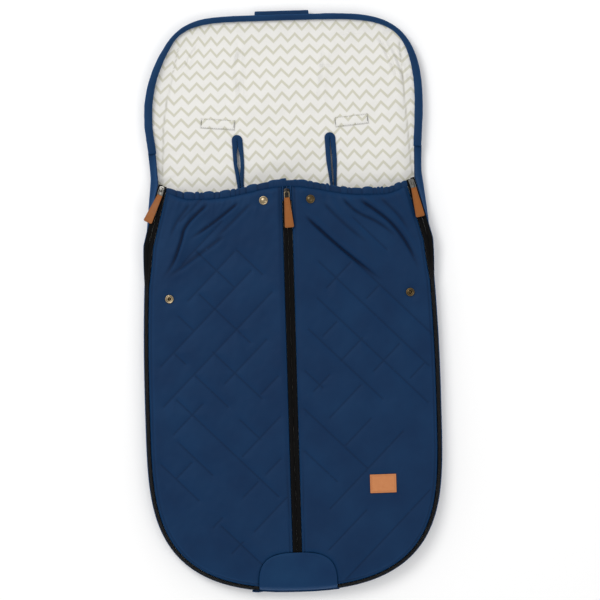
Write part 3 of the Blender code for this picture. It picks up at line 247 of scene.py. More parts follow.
# %% [markdown]
# ## Small helpers for nodes and meshes
# One function turns a colour as a designer writes it into the linear light that a shader
# wants. One adds a node with its settings and links. Cloth starts as a flat grid from
# create_grid, which is then bent onto rows of points, so that its weave can follow it in UV.


# %% Colour and node helpers
def linear(code):
    """An sRGB hex colour as linear RGBA."""
    parts = [int(code[k : k + 2], 16) / 255 for k in (1, 3, 5)]
    return (
        *[c / 12.92 if c <= 0.04045 else ((c + 0.055) / 1.055) ** 2.4 for c in parts],
        1.0,
    )


def node(tree, kind, inputs=None, **settings):
    """Adds a node; inputs are values or the sockets to link from."""
    made = tree.nodes.new("ShaderNode" + kind)
    for name, value in settings.items():
        setattr(made, name, value)
    for key, value in (inputs or {}).items():
        if isinstance(value, bpy.types.NodeSocket):
            tree.links.new(value, made.inputs[key])
        else:
            made.inputs[key].default_value = value
    return made


def material(name, **sockets):
    """A principled material with the values that are the same all over."""
    made = bpy.data.materials.new(name)
    made.use_nodes = True
    shader = made.node_tree.nodes["Principled BSDF"]
    for key, value in sockets.items():
        label = key.replace("_", " ").title().replace("Ior", "IOR")
        shader.inputs[label].default_value = value
    return made, made.node_tree, shader


def connect(tree, shader, **sockets):
    """Links what was worked out into the shader."""
    for key, value in sockets.items():
        tree.links.new(value, shader.inputs[key.replace("_", " ").title()])


def clouds(tree, where, scale, detail, **more):
    """Soft noise from 0 to 1."""
    inputs = {"Vector": where, "Scale": scale, "Detail": detail, **more}
    return node(tree, "TexNoise", inputs).outputs["Fac"]


def mixed(tree, share, first, second):
    """A colour between two; each is a hex code or a socket."""
    first, second = (linear(c) if isinstance(c, str) else c for c in (first, second))
    return node(tree, "Mix", {0: share, 6: first, 7: second}, data_type="RGBA").outputs[2]


def ranged(tree, value, *settings, **more):
    """A value moved from one range onto another."""
    inputs = {"Value": value, **dict(settings)}
    return node(tree, "MapRange", inputs, **more).outputs[0]


def bumped(tree, height, distance, **more):
    """A normal that rises and falls with this height."""
    inputs = {"Height": height, "Distance": distance, **more}
    return node(tree, "Bump", inputs).outputs["Normal"]


def painted(tree, name):
    """The number that a mesh carries at each vertex under this name."""
    return node(tree, "Attribute", attribute_name=name).outputs["Fac"]


print("navy in linear light:", [round(c, 3) for c in linear("#1E3454")[:3]])


# %% Mesh helpers
def grid_mesh(rows, columns, uv):
    """A flat grid whose vertices remember their row and column."""
    bm = bmesh.new()
    bmesh.ops.create_grid(bm, x_segments=columns - 1, y_segments=rows - 1, size=0.5)
    row, column = bm.verts.layers.int.new("row"), bm.verts.layers.int.new("column")
    for vert in bm.verts:
        vert[row] = round((vert.co.y + 0.5) * (rows - 1))
        vert[column] = round((vert.co.x + 0.5) * (columns - 1))
    layer = bm.loops.layers.uv.new("UVMap")
    for face in bm.faces:
        for loop in face.loops:
            loop[layer].uv = uv[loop.vert[row], loop.vert[column]]
    return bm, row, column


def finish_mesh(name, bm, finish, merge=True):
    """A smooth-shaded object from a bmesh, with its normals outwards."""
    if merge:
        bmesh.ops.remove_doubles(bm, verts=bm.verts, dist=2e-6)
        bmesh.ops.recalc_face_normals(bm, faces=bm.faces)
    mesh = bpy.data.meshes.new(name)
    bm.to_mesh(mesh)
    bm.free()
    obj = bpy.data.objects.new(name, mesh)
    bpy.context.scene.collection.objects.link(obj)
    mesh.materials.append(finish)
    mesh.polygons.foreach_set("use_smooth", [True] * len(mesh.polygons))
    return obj


def sheet(plan, z):
    """Plan points, rows x columns x 2, with a height for each."""
    return np.dstack([plan, np.reshape(z, plan.shape[:2])])


def pad(name, top, bottom, uv, finish):
    """A closed soft form between two sheets of points, rows x columns x 3."""
    bm, row, column = grid_mesh(*top.shape[:2], uv)
    lower = list(bm.verts)
    raised = bmesh.ops.extrude_face_region(bm, geom=bm.faces[:])["geom"]
    upper = [v for v in raised if isinstance(v, bmesh.types.BMVert)]
    for verts, points in ((lower, bottom), (upper, top)):
        for vert in verts:
            vert.co = points[vert[row], vert[column]]
    return finish_mesh(name, bm, finish)


def lengths_along(path):
    """How far along its path each point lies."""
    steps = np.linalg.norm(np.diff(path, axis=0), axis=1)
    return np.concatenate([[0], np.cumsum(steps)])


def tube(name, rings, finish, closed_path=False):
    """Skins rings of points, rings x points x 3, into a closed form."""
    if closed_path:
        rings = np.concatenate([rings, rings[:1]])
    rings = np.concatenate([rings, rings[:, :1]], 1)
    around = np.linalg.norm(np.diff(rings, axis=1), axis=2).mean(0)
    around = np.concatenate([[0], np.cumsum(around)])
    uv = np.stack(np.meshgrid(around, lengths_along(rings.mean(1))), 2)
    bm, row, column = grid_mesh(*rings.shape[:2], uv)
    for vert in bm.verts:
        vert.co = rings[vert[row], vert[column]]
    bmesh.ops.remove_doubles(bm, verts=bm.verts, dist=2e-6)
    if not closed_path:
        bmesh.ops.holes_fill(bm, edges=[e for e in bm.edges if e.is_boundary])
    return finish_mesh(name, bm, finish)


def joined(name, pieces):
    """Several objects as one."""
    bpy.ops.object.select_all(action="DESELECT")
    for piece in pieces:
        piece.select_set(True)
    bpy.context.view_layer.objects.active = pieces[0]
    bpy.ops.object.join()
    pieces[0].name = pieces[0].data.name = name
    return pieces[0]


def points_of(obj):
    """The vertices as an array, vertices x 3."""
    spots = np.zeros(len(obj.data.vertices) * 3)
    obj.data.vertices.foreach_get("co", spots)
    return spots.reshape(-1, 3)


def attribute(obj, name, values):
    """A number at each vertex for the material to read."""
    layer = obj.data.attributes.new(name, "FLOAT", "POINT")
    layer.data.foreach_set("value", np.asarray(values, np.float32))


def at_vertices(obj, flat, values, missing):
    """The value of the plan point that each vertex stands on."""
    spots = np.round(flat * 1e6).astype(int).tolist()
    given = {tuple(spot): value for spot, value in zip(spots, values)}
    here = np.round(points_of(obj)[:, :2] * 1e6).astype(int).tolist()
    return np.array([given.get(tuple(spot), missing) for spot in here])


def picked(path, along, at):
    """The path's points at these lengths along it."""
    return np.stack([np.interp(at, along, column) for column in path.T], 1)


def resampled(path, step):
    """A path as points an even step apart."""
    path = np.asarray(path, float)
    along = lengths_along(path)
    return picked(path, along, np.arange(step / 2, along[-1], step))


def rounded_path(path, times=3):
    """Cuts the corners of an open path again and again, until it curves."""
    path = np.array(path, float)
    for _ in range(times):
        near, far = 0.75 * path[:-1] + 0.25 * path[1:], 0.25 * path[:-1] + 0.75 * path[1:]
        inner = np.stack([near, far], 1).reshape(-1, 2)
        path = np.concatenate([path[:1], inner[1:-1], path[-1:]])
    return path


def to_path(points, path):
    """Distance from each point to a line of points, and how far along it lies, 0 to 1."""
    path = np.asarray(path, float)
    best, share = np.full(len(points), 9.0), np.zeros(len(points))
    steps = np.linalg.norm(np.diff(path, axis=0), axis=1)
    total, done = steps.sum(), 0.0
    for a, b, step in zip(path, path[1:], steps):
        t = np.clip(((points - a) @ (b - a)) / max(step**2, 1e-12), 0, 1)
        gap = np.linalg.norm(points - a - t[:, None] * (b - a), axis=1)
        near = gap < best
        best = np.where(near, gap, best)
        share = np.where(near, (done + t * step) / total, share)
        done += step
    return best, share


def noise(points, size, seed):
    """Soft rolling noise from -1 to 1 on plan points, with hills of about this size."""
    rng = np.random.default_rng(seed)
    total = np.zeros(len(points))
    for _ in range(9):
        turn, phase = rng.uniform(0, 2 * np.pi, 2)
        wave = rng.uniform(0.7, 1.5) * np.pi / size
        total += np.sin(points @ np.array([np.cos(turn), np.sin(turn)]) * wave + phase)
    return total / 4.5


print("helpers ready")

# %% [markdown]
# ## The finishes
# The outside is a tightly woven polyester with a water-repellent finish. It looks deep
# navy with a faint soft shine, is never quite flat, and has a thread of about 0.3 mm. That
# is far too fine for a picture of the whole footmuff, so the weave is drawn at 0.9 mm. A
# wave texture repeats every WAVE_SCALE metres when its own scale is 1.

# %% Woven polyester shell
WAVE_SCALE = 0.314


def cloth_weave(tree, uv, pitch, depth):
    """A plain weave as a bump: warp and weft waves multiplied."""
    inputs = {"Vector": uv, "Scale": WAVE_SCALE / pitch, "Distortion": 0.4}
    warp, weft = (
        node(tree, "TexWave", inputs, bands_direction=way).outputs["Fac"] for way in "XY"
    )
    both = node(tree, "Math", {0: warp, 1: weft}, operation="MULTIPLY").outputs[0]
    return bumped(tree, both, depth, Strength=0.5)


def woven_polyester(name, dark, light):
    """Deep matt colour, with a painted sheen that lightens it where the cloth turns away from the
    eye, and painted shade in seams and folds.
    """
    made, tree, shader = material(name, roughness=0.62, specular_ior_level=0.11)
    uv = node(tree, "TexCoord").outputs["UV"]
    weave = cloth_weave(tree, uv, 0.0009, 0.00008)
    crinkle = clouds(tree, uv, 70.0, 4.0, Roughness=0.55)
    normal = bumped(tree, crinkle, 0.0016, Strength=0.35, Normal=weave)
    tone = ranged(tree, clouds(tree, uv, 14.0, 3.0), ("From Min", 0.3), ("From Max", 0.7))
    # Painted sheen: the colour shifts to a lighter blue where the cloth faces away from the eye.
    turned = node(tree, "LayerWeight", {"Blend": 0.38}).outputs["Facing"]
    colour = mixed(tree, turned, mixed(tree, tone, dark, light), "#184A7B")
    # Painted shade: dark navy along the seams, folds and pinches, from a value that each mesh
    # carries.
    colour = mixed(tree, painted(tree, "painted_shade"), colour, "#05152E")
    connect(tree, shader, base_color=colour, normal=normal)
    return made


NAVY = woven_polyester("navy_woven_polyester", "#0C2849", "#102F51")
BINDING = woven_polyester("navy_folded_binding", "#0D2B4E", "#133558")
print(NAVY.name, BINDING.name)

# %% [markdown]
# ## The printed lining
# The lining is a soft off-white cotton with a pale sage zigzag, a common print. The zigzags
# are 25 mm from peak to peak, 13 mm deep and 20.6 mm apart. A triangle wave bends the
# height, and a second one measures how far a point is from the nearest line.

# %% Zigzag cotton
HALF_PEAK, ZIGZAG_SLOPE, HALF_ROW = 0.0125, 1.04, 0.0103
INK_ENDS, PAPER_STARTS = 0.0017, 0.0043


def zigzag_cotton(name, shift):
    """Off-white cotton; the print wavers a little, as it does on washed cloth."""
    made, tree, shader = material(name, roughness=0.85, specular_ior_level=0.25)
    uv = node(tree, "TexCoord").outputs["UV"]
    waver = node(tree, "TexNoise", {"Vector": uv, "Scale": 9.0, "Detail": 1.5})
    middle = {0: waver.outputs["Color"], 1: (0.5 - shift[0], 0.5 - shift[1], 0.5)}
    centred = node(tree, "VectorMath", middle, operation="SUBTRACT").outputs[0]
    reach = {0: centred, 1: (0.011, 0.011, 0.0), 2: uv}
    moved = node(tree, "VectorMath", reach, operation="MULTIPLY_ADD").outputs[0]
    split = node(tree, "SeparateXYZ", {0: moved}).outputs
    wave = node(tree, "Math", {0: split["X"], 1: HALF_PEAK}, operation="PINGPONG")
    slope = {0: wave.outputs[0], 1: ZIGZAG_SLOPE, 2: split["Y"]}
    bent = node(tree, "Math", slope, operation="MULTIPLY_ADD").outputs[0]
    off_line = node(tree, "Math", {0: bent, 1: HALF_ROW}, operation="PINGPONG").outputs[0]
    ends = ("From Min", INK_ENDS), ("From Max", PAPER_STARTS)
    ink = ranged(tree, off_line, *ends, interpolation_type="SMOOTHSTEP")
    speckle = clouds(tree, uv, 900.0, 2.0)
    ground = mixed(tree, speckle, "#DCDAD5", "#E8E7E3")
    colour = mixed(tree, ink, mixed(tree, speckle, "#C3C1B0", "#CFCDBE"), ground)
    # Painted shade: greyer along the pad's seams, from a value that the mesh carries.
    colour = mixed(tree, painted(tree, "painted_shade"), colour, "#B9B7AC")
    weave = cloth_weave(tree, uv, 0.0008, 0.00006)
    crease = clouds(tree, uv, 26.0, 3.0, Distortion=0.6)
    normal = bumped(tree, crease, 0.004, Strength=0.4, Normal=weave)
    connect(tree, shader, base_color=colour, normal=normal)
    return made


PRINT = zigzag_cotton("zigzag_printed_cotton", shift=(0.31, 0.94))
GUIDE_PRINT = zigzag_cotton("zigzag_printed_cotton_strip", shift=(0.3, 0.55))
print(PRINT.name)

# %% [markdown]
# ## Zip tape, coil and thread
# The zips are black: a ribbed polyester tape with a nylon coil of 1.25 mm turns along its
# edge. The tape is matt and drinks the light, and the coil has the dull gloss of nylon.


# %% Zip and thread finishes
def zip_tape(name, rib=0.0012):
    """Matt black, with ribs along the tape."""
    made, tree, shader = material(name, roughness=0.85, specular_ior_level=0.1)
    uv = node(tree, "TexCoord").outputs["UV"]
    inputs = {"Vector": uv, "Scale": WAVE_SCALE / rib}
    ribs = node(tree, "TexWave", inputs, bands_direction="X").outputs["Fac"]
    colour = mixed(tree, ribs, "#060606", "#0E0D0D")
    connect(tree, shader, base_color=colour, normal=bumped(tree, ribs, 0.0002))
    return made


def plain_with_grain(name, dark, light, size, depth, **sockets):
    """A finish with a fine two-tone grain that also stands up a little."""
    made, tree, shader = material(name, **sockets)
    grain = clouds(tree, node(tree, "TexCoord").outputs["Object"], 1 / size, 3.0)
    colour = mixed(tree, grain, dark, light)
    connect(tree, shader, base_color=colour, normal=bumped(tree, grain, depth))
    return made


def thread(colour_name, dark, light, roughness=0.6, **sockets):
    """Sewing thread: a grain of half a millimetre, for its twist."""
    name = colour_name + "_thread"
    return plain_with_grain(
        name, dark, light, 0.0005, 0.00004, roughness=roughness, **sockets
    )


TAPE_CLOTH = zip_tape("black_ribbed_zip_tape")
NYLON = plain_with_grain(
    "black_nylon_coil", "#060606", "#100F0F", 0.0008, 0.00002,
    roughness=0.55, specular_ior_level=0.06,
)
NAVY_THREAD = thread("navy_polyester", "#0F2C50", "#1C4372", specular_ior_level=0.2)
GREY_THREAD = thread("grey_polyester", "#4A4A46", "#77756D")
TAN_THREAD = thread("tan_waxed", "#8E4F1F", "#B77338", 0.5)
print(TAPE_CLOTH.name, NYLON.name)

# %% [markdown]
# ## Leather and metal
# The pulls and the patch are tan vegetable leather: warm, half matt, with a fine pebble of
# about 1 mm, paler where it is handled and dark at its cut edge. The sliders are nickel
# plated zinc, and the press studs antique brass, which is brown in its hollows.


# %% Leather
def tan_leather(name, dark, light, worn_tone, edge_tone):
    """Leather whose fibres, wear and cut edge each have their tone."""
    made, tree, shader = material(name, roughness=0.5, ior=1.5, specular_ior_level=0.3)
    place = node(tree, "TexCoord").outputs["Object"]
    pores = node(tree, "TexVoronoi", {"Vector": place, "Scale": 900.0}).outputs["Distance"]
    fibres, wear = clouds(tree, place, 160.0, 5.0), clouds(tree, place, 45.0, 2.0)
    colour = mixed(tree, wear, mixed(tree, fibres, dark, light), worn_tone)
    colour = mixed(tree, painted(tree, "cut_edge"), colour, edge_tone)
    rough = ranged(tree, wear, ("To Min", 0.40), ("To Max", 0.60))
    pebble = bumped(tree, pores, 0.0001, Strength=0.5)
    normal = bumped(tree, fibres, 0.0003, Strength=0.4, Normal=pebble)
    connect(tree, shader, base_color=colour, roughness=rough, normal=normal)
    return made


# %% Plated metal
def plated_metal(name, bright, dark, roughness, patina_and_shade):
    """Metal that is darker and duller in its hollows by this share: patina on the antique brass,
    painted shade on the other finishes.
    """
    made, tree, shader = material(name, metallic=1.0, roughness=roughness)
    place = node(tree, "TexCoord").outputs["Object"]
    pointed = node(tree, "NewGeometry").outputs["Pointiness"]
    ends = ("From Min", 0.46), ("From Max", 0.53), ("To Min", 1.0), ("To Max", 0.0)
    hollow = {0: ranged(tree, pointed, *ends), 1: patina_and_shade}
    share = node(tree, "Math", hollow, operation="MULTIPLY").outputs[0]
    ends = ("To Min", roughness * 0.8), ("To Max", roughness * 1.3)
    rough = ranged(tree, clouds(tree, place, 350.0, 4.0), *ends)
    connect(tree, shader, base_color=mixed(tree, share, bright, dark), roughness=rough)
    return made


LEATHER = tan_leather("tan_vegetable_leather", "#763F11", "#98591E", "#90541C", "#51290F")
PALE_LEATHER = tan_leather("pale_vegetable_leather", "#B46A39", "#CB8652", "#C07C4D", "#7C4420")
# The dark hollows of the nickel, the centre slider's metal and the pale brass are painted shade; on
# the antique brass they are its patina.
NICKEL = plated_metal("nickel_plated_zinc", "#7C7A75", "#161412", 0.30, 0.95)
# The centre slider sits in the shade under the hem, and its metal is made dark all over.
DARK_SLIDER_METAL = plated_metal("dark_slider_metal", "#33302D", "#141210", 0.34, 0.6)
BRASS = plated_metal("pale_brass", "#A69578", "#3F3220", 0.30, 0.8)
OLD_BRASS = plated_metal("antique_brass", "#64543A", "#15100A", 0.34, 0.9)
print(LEATHER.name, NICKEL.name, BRASS.name)

# %% [markdown]
# ## The quilted cover
# The cover is padded cloth, sewn down along a slanted lattice that the maker left open in
# places, so that squares and oblongs mix. Between the seams it rises in low pillows, and the
# elastic hem pulls long soft folds down from the top. Where each seam and fold lies was read
# off the object, as short runs on the two slants, in millimetres.

# %% Where the seams lie
SEAMS = {
    "left": {
        "/": [
            (-127, -4, -119), (-84, -8, -233), (-33, -10, -280), (16, -75, -178),
            (12, -230, -302), (73, -107, -149), (67, -316, -355), (123, -155, -248),
            (173, -207, -243), (172, -262, -298), (170, -349, -371), (226, -248, -328),
            (224, -354, -381), (-178, 20, -80), (-230, 40, -30),
        ],
        "\\": [
            (1, -126, -65), (-98, -120, -1), (-150, -121, -85), (-154, -36, 79),
            (-201, -80, -56), (-204, -30, 47), (-206, 77, 126), (-256, -24, 215),
            (-307, 27, 108), (-355, 32, 121), (-360, 179, 276), (-48, -175, -84),
        ],
    },
    "right": {
        "\\": [
            (126, -52, 251), (83, -11, 250), (36, 30, 291), (-13, 56, 229),
            (-69, 100, 142), (-117, 144, 292), (-169, 194, 270), (178, -20, 60),
        ],
        "/": [
            (293, -211, -29), (340, -263, -170), (396, -280, -71), (238, -115, -51),
            (240, 46, 82), (186, -98, -22), (186, 11, 75), (133, -15, 40),
            (135, -84, -45), (82, -4, 29), (92, 93, 123), (30, 60, 120),
        ],
    },
}
FOLDS = {
    "left": [
        (0.0030, 0.0065, [
            (-0.132, 0.173), (-0.176, 0.136), (-0.1834, 0.106), (-0.200, 0.064),
            (-0.222, 0.040),
        ]),
        (0.0028, 0.0060, [(-0.081, 0.172), (-0.1245, 0.1386), (-0.1726, 0.1079)]),
        (0.0016, 0.0080, [(-0.106, 0.117), (-0.165, 0.0755), (-0.218, 0.040)]),
        (0.0014, 0.0070, [(-0.060, 0.170), (-0.092, 0.140), (-0.130, 0.105)]),
        (0.0014, 0.0065, [(-0.165, 0.172), (-0.192, 0.140), (-0.203, 0.110)]),
    ],
    "right": [
        (0.0030, 0.0060, [(0.028, 0.147), (0.0717, 0.103), (0.130, 0.054), (0.166, 0.025)]),
        (0.0030, 0.0065, [(0.121, 0.172), (0.1756, 0.134), (0.2085, 0.0858), (0.224, 0.040)]),
        (0.0020, 0.0060, [(0.093, 0.175), (0.116, 0.149), (0.158, 0.130), (0.190, 0.100)]),
        (0.0013, 0.0070, [(0.060, 0.168), (0.095, 0.130), (0.140, 0.092)]),
        (0.0014, 0.0060, [(0.160, 0.172), (0.193, 0.140), (0.208, 0.112)]),
    ],
}


def slanted(kind, fixed, start, stop):
    """A run on one of the two slants as two plan points in metres."""
    points = []
    for free in (start, stop):
        s, t = (fixed, free) if kind == "/" else (free, fixed)
        points.append(((s + t) / math.sqrt(2) / 1000, (t - s) / math.sqrt(2) / 1000))
    return points


print(sum(len(v) for side in SEAMS.values() for v in side.values()), "quilting seams")


# %% The four edges of one half of the cover
FOOT_PATCH_HALF, FOOT_STATIONS = 0.066, 30


def arch(steps, clear=0.0003):
    """The foot patch's edge on the right, from its top to the sewn edge."""
    wide = FOOT_PATCH_HALF + clear
    base = float(np.interp(wide, *SEWN[:FOOT_STATIONS, :2].T))
    turn = np.linspace(0, np.pi / 2, steps)
    x = wide * np.sin(turn) ** (2 / 3)
    y = base + (CROWN_FOOT_Y + clear - base) * np.maximum(np.cos(turn), 0) ** (2 / 3)
    return np.stack([x, y], 1)


def spread(path, shares):
    """Points at these shares of a path's length."""
    along = lengths_along(path)
    return picked(path, along, np.asarray(shares) * along[-1])


def cover_edges():
    """Foot, hem, centre and sewn edge of the right half, as plan paths."""
    foot = arch(60)
    foot = np.concatenate([[[EDGE, foot[0, 1]]], foot[foot[:, 0] > EDGE + 0.001]])
    sewn = SEWN[:, :2]
    sewn = sewn[(sewn[:, 0] > foot[-1, 0] + 0.0005) & (sewn[:, 1] < HEM_Y + 0.004)]
    sewn = np.concatenate([foot[-1:], sewn])
    hem_x = np.linspace(EDGE, sewn[-1, 0], 60)
    hem = np.stack([hem_x, hem_y(hem_x) - CASING + 0.0015], 1)
    hem[:, 1] += (sewn[-1, 1] - hem[-1, 1]) * smooth((hem_x - 0.185) / 0.02)
    centre = np.array([foot[0], hem[0]])
    return foot, hem, centre, sewn


def crowded(count, shares):
    """Shares from 0 to 1, evenly spread inside and close together at both ends."""
    inside = np.linspace(shares[-1] * 1.6, 1 - shares[-1] * 1.6, count)
    return np.concatenate([[0], shares, inside, 1 - np.array(shares[::-1]), [1]])


def cover_plan(across, along):
    """Plan points, rows along x columns across, filled in between the four edges."""
    foot, hem, centre, sewn = cover_edges()
    low, high = spread(foot, across), spread(hem, across)
    inner, outer = spread(centre, along), spread(sewn, along)
    u, v = across[None, :, None], along[:, None, None]
    plan = (1 - v) * low[None] + v * high[None]
    plan = plan + (1 - u) * inner[:, None] + u * outer[:, None]
    corners = (1 - u) * ((1 - v) * foot[0] + v * hem[0])
    return plan - corners - u * ((1 - v) * foot[-1] + v * hem[-1])


ACROSS = crowded(108, [0.006, 0.014, 0.024])
ALONG = crowded(296, [0.002, 0.005, 0.009])
PLAN = cover_plan(ACROSS, ALONG)
print("cover half:", PLAN.shape[0], "x", PLAN.shape[1], "points")

# %% [markdown]
# The height of the cloth is the lattice's own height, plus the pillows, which rise with the
# distance from the nearest seam, plus the folds, each a soft ridge beside a narrow valley,
# plus the little puckers that the elastic hem makes. The whole form is closed: the top
# turns down at its sewn edges and meets the underside there.


# %% Relief of the cover
# A fold this high gets full painted shade in its valley.
FULLY_DARK = 0.0025
TOPSTITCH_IN, TOPSTITCH_WIDE = 0.0048, 0.0011


def nearest_seam(points, side):
    """Distance from the nearest quilting seam."""
    gap = np.full(len(points), 9.0)
    for kind, runs in SEAMS[side].items():
        for run in runs:
            gap = np.minimum(gap, to_path(points, slanted(kind, *run))[0])
    return gap


def fold_relief(points, side):
    """Ridges beside valleys along each fold, fading at both its ends, and the painted shade down
    each valley.
    """
    total, dark = np.zeros(len(points)), np.zeros(len(points))
    for height, width, path in FOLDS[side]:
        path = rounded_path(path)
        gap, share = to_path(points, path)
        run = (path[-1] - path[0]) / np.linalg.norm(path[-1] - path[0])
        aside = np.array([-run[1], run[0]])
        steps = lengths_along(path)
        bow = np.interp(share, steps / steps[-1], (path - path[0]) @ aside)
        signed = np.sign((points - path[0]) @ aside - bow) * gap
        fade = smooth(share / 0.12) * smooth((1 - share) / 0.35)
        ridge, valley = bell(signed - 0.8 * width, width), bell(signed, 0.46 * width)
        total += 1.4 * height * fade * (0.8 * ridge - valley)
        # Painted shade down the middle of each valley.
        dark += height / FULLY_DARK * fade * bell(signed, 0.42 * width)
    return total, dark


def hem_puckers(points, side):
    """Short gathers that run down from the hem."""
    x, y = np.abs(points[:, 0]), points[:, 1]
    down = np.maximum(hem_y(x) - CASING - y, 0)
    rng = np.random.default_rng(11 if side == "left" else 12)
    places = np.linspace(0.012, 0.200, 21) + rng.uniform(-0.003, 0.003, 21)
    total = np.zeros(len(points))
    for place in places:
        lean = rng.uniform(0.1, 0.55)
        long = rng.uniform(0.010, 0.034)
        wide = rng.uniform(0.0024, 0.0040)
        high = rng.uniform(0.0010, 0.0022)
        total += high * bell(x - place - lean * down, wide) * np.exp(-down / long)
    return total - 0.0006 * np.exp(-down / 0.02)


def calm(points, side):
    """0 under a press stud or the leather patch, where the cloth is held down."""
    x, y = np.abs(points[:, 0]), points[:, 1]
    gaps = [np.hypot(x - a, y - b) - 0.007 for a, b in (UPPER_SNAP, LOWER_SNAP)]
    if side == "right":
        beside = np.abs(x - PATCH_MIDDLE[0]) - PATCH_WIDE / 2
        gaps.append(np.maximum(beside, np.abs(y - PATCH_MIDDLE[1]) - PATCH_LONG / 2))
    return smooth(np.minimum.reduce(gaps) / 0.012)


def edge_gaps(points):
    """Distance from the nearest edge, then from the centre, the sewn edge and the hem."""
    right = np.stack([np.abs(points[:, 0]), points[:, 1]], 1)
    each = []
    for path in cover_edges():
        each.append(to_path(right, path[::2] if len(path) > 20 else path)[0])
    _, hem, centre, sewn = each
    return np.minimum.reduce(each), centre, sewn, hem


def quilt_heights(points, side):
    """Lattice height, relief above it, distance from the edge, and the painted shade."""
    base = cover_z(points[:, 0], points[:, 1])
    gap = nearest_seam(points, side)
    rim, centre, sewn, hem = edge_gaps(points)
    held = calm(points, side)
    pillow = 0.0027 * (1 - np.exp(-gap / 0.0085)) + 0.0007 * (1 - np.exp(-gap / 0.0016))
    soft = 0.0009 * noise(points, 0.045, 3) + 0.00035 * noise(points, 0.013, 4)
    relief = (pillow + soft * smooth(gap / 0.02)) * (0.25 + 0.75 * held)
    folds, valley = fold_relief(points, side)
    relief += folds * (0.4 + 0.6 * held)
    relief += hem_puckers(points, side) * held
    topstitch = sum(bell(k - TOPSTITCH_IN, TOPSTITCH_WIDE) for k in (centre, sewn))
    relief = relief * smooth(rim / 0.010) - 0.0007 * topstitch
    # Painted shade: dark lines along the quilting seams, the topstitching and the hem, and in the
    # fold valleys.
    painted_shade = 0.42 * bell(gap, 0.0013) + 0.45 * topstitch
    painted_shade = np.clip(painted_shade + 0.45 * bell(hem, 0.0022) + valley, 0, 1)
    return base, relief, rim, painted_shade


def quilted_half(side):
    """The shell with its wadding, as one closed padded form."""
    plan = PLAN * np.array([SIDES[side], 1.0])
    flat = plan.reshape(-1, 2)
    base, relief, rim, painted_shade = quilt_heights(flat, side)
    turn = 1 - np.clip(rim / 0.0045, 0, 1)
    top = base + relief - 0.0004 - 0.0022 * (1 - np.sqrt(1 - turn**2))
    lift = 0.25 * np.clip(relief, 0, 0.003)
    under = base - 0.0030 - 0.0056 * smooth(rim / 0.012) + lift
    obj = pad("quilted_shell_" + side, sheet(plan, top), sheet(plan, under), plan, NAVY)
    # The painted shade is kept at each vertex for the material.
    attribute(obj, "painted_shade", at_vertices(obj, flat, painted_shade, 0))
    return obj


def quilted_lining(side):
    """The printed lining under one half, held up at the seams; its rim is navy."""
    plan = cover_plan(crowded(44, [0.012]), crowded(120, [0.006]))
    plan = plan * np.array([SIDES[side], 1.0])
    base, relief, rim, _ = quilt_heights(plan.reshape(-1, 2), side)
    fall = 0.0036 + 0.0055 * smooth(rim / 0.014) + 0.25 * np.clip(relief, 0, 0.003)
    upper, lower = sheet(plan, base - fall), sheet(plan, base - fall - 0.0010)
    obj = pad("quilted_lining_" + side, upper, lower, plan, PRINT)
    obj.data.materials.append(NAVY)
    centres = np.array([face.center[:2] for face in obj.data.polygons])
    for face, near in zip(obj.data.polygons, edge_gaps(centres)[0]):
        face.material_index = int(near < 0.004)
    return obj


# %% Make both halves
FOLD_AWAY = np.subtract(UPPER_SNAP, LOWER_SNAP)
FOLD_AWAY = FOLD_AWAY / np.linalg.norm(FOLD_AWAY)


def bend_with_lapel(obj):
    """Bakes the piece's placement into its mesh."""
    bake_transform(obj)


for side in SIDES:
    shell = quilted_half(side)
    bend_with_lapel(shell)
    layers = ("shell", "wadding")
    names = [f"{part}_{layer}_{side}" for part in ("cover", "lapel") for layer in layers]
    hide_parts(*names)
    lining = quilted_lining(side)
    bend_with_lapel(lining)
    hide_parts("cover_lining_" + side, "lapel_lining_" + side)
    for piece in (shell, lining):
        print(piece.name, len(piece.data.polygons), "faces")

# %% [markdown]
# ## The back
# The back is a flat padded bag half. Its outer cloth is one navy piece that turns up round
# the rim, and the printed pad lies inside it. Both are grids that narrow with the outline,
# with closer rows where the outline turns, and both are cut through by the harness slits.


# %% A grid over the back
def back_plan(columns, hood_step):
    """Plan points over the whole back, and each one's distance from the outline."""
    crowd = 0.030 * np.linspace(0, 1, 14) ** 2.5
    middle = np.arange(Y_FOOT + 0.036, 0.150, 0.0065)
    hood = np.arange(0.150, Y_HEAD - 0.0301, hood_step)
    y = np.concatenate([Y_FOOT + crowd, middle, hood, Y_HEAD - crowd[::-1]])
    t = np.linspace(-1, 1, columns)
    u = 0.6 * t + 0.4 * np.sin(np.pi / 2 * t)
    plan = np.stack(np.broadcast_arrays(u[None] * half_width(y)[:, None], y[:, None]), 2)
    flat = plan.reshape(-1, 2)
    right = np.stack([np.abs(flat[:, 0]), flat[:, 1]], 1)
    return plan, flat, to_path(right, OUTLINE)[0]


def rolled(gap):
    """Height of the underside: flat on the floor, turned up round the rim."""
    inset = np.minimum(gap, RIM)
    return RIM - np.sqrt(np.maximum(RIM**2 - (RIM - inset) ** 2, 0))


SLIT = {"x": 0.080, "y": 0.214, "long": 0.142, "open": 0.0032, "lean": -0.045}
STEPS = (1 - np.cos(np.pi * np.arange(45) / 44)) / 2


def slit_ring(wide, long, sign, z):
    """A long narrow ring; wide is half its width at each of the STEPS, foot to head."""
    y = long * (STEPS - 0.5)
    right = np.stack([wide, y], 1)[:-1]
    left = np.stack([-wide, y], 1)[::-1][:-1]
    ring = np.concatenate([right, left])
    x = ring[:, 0] + sign * SLIT["x"] + SLIT["lean"] * ring[:, 1]
    return np.column_stack([x, ring[:, 1] + SLIT["y"], np.full(len(ring), z)])


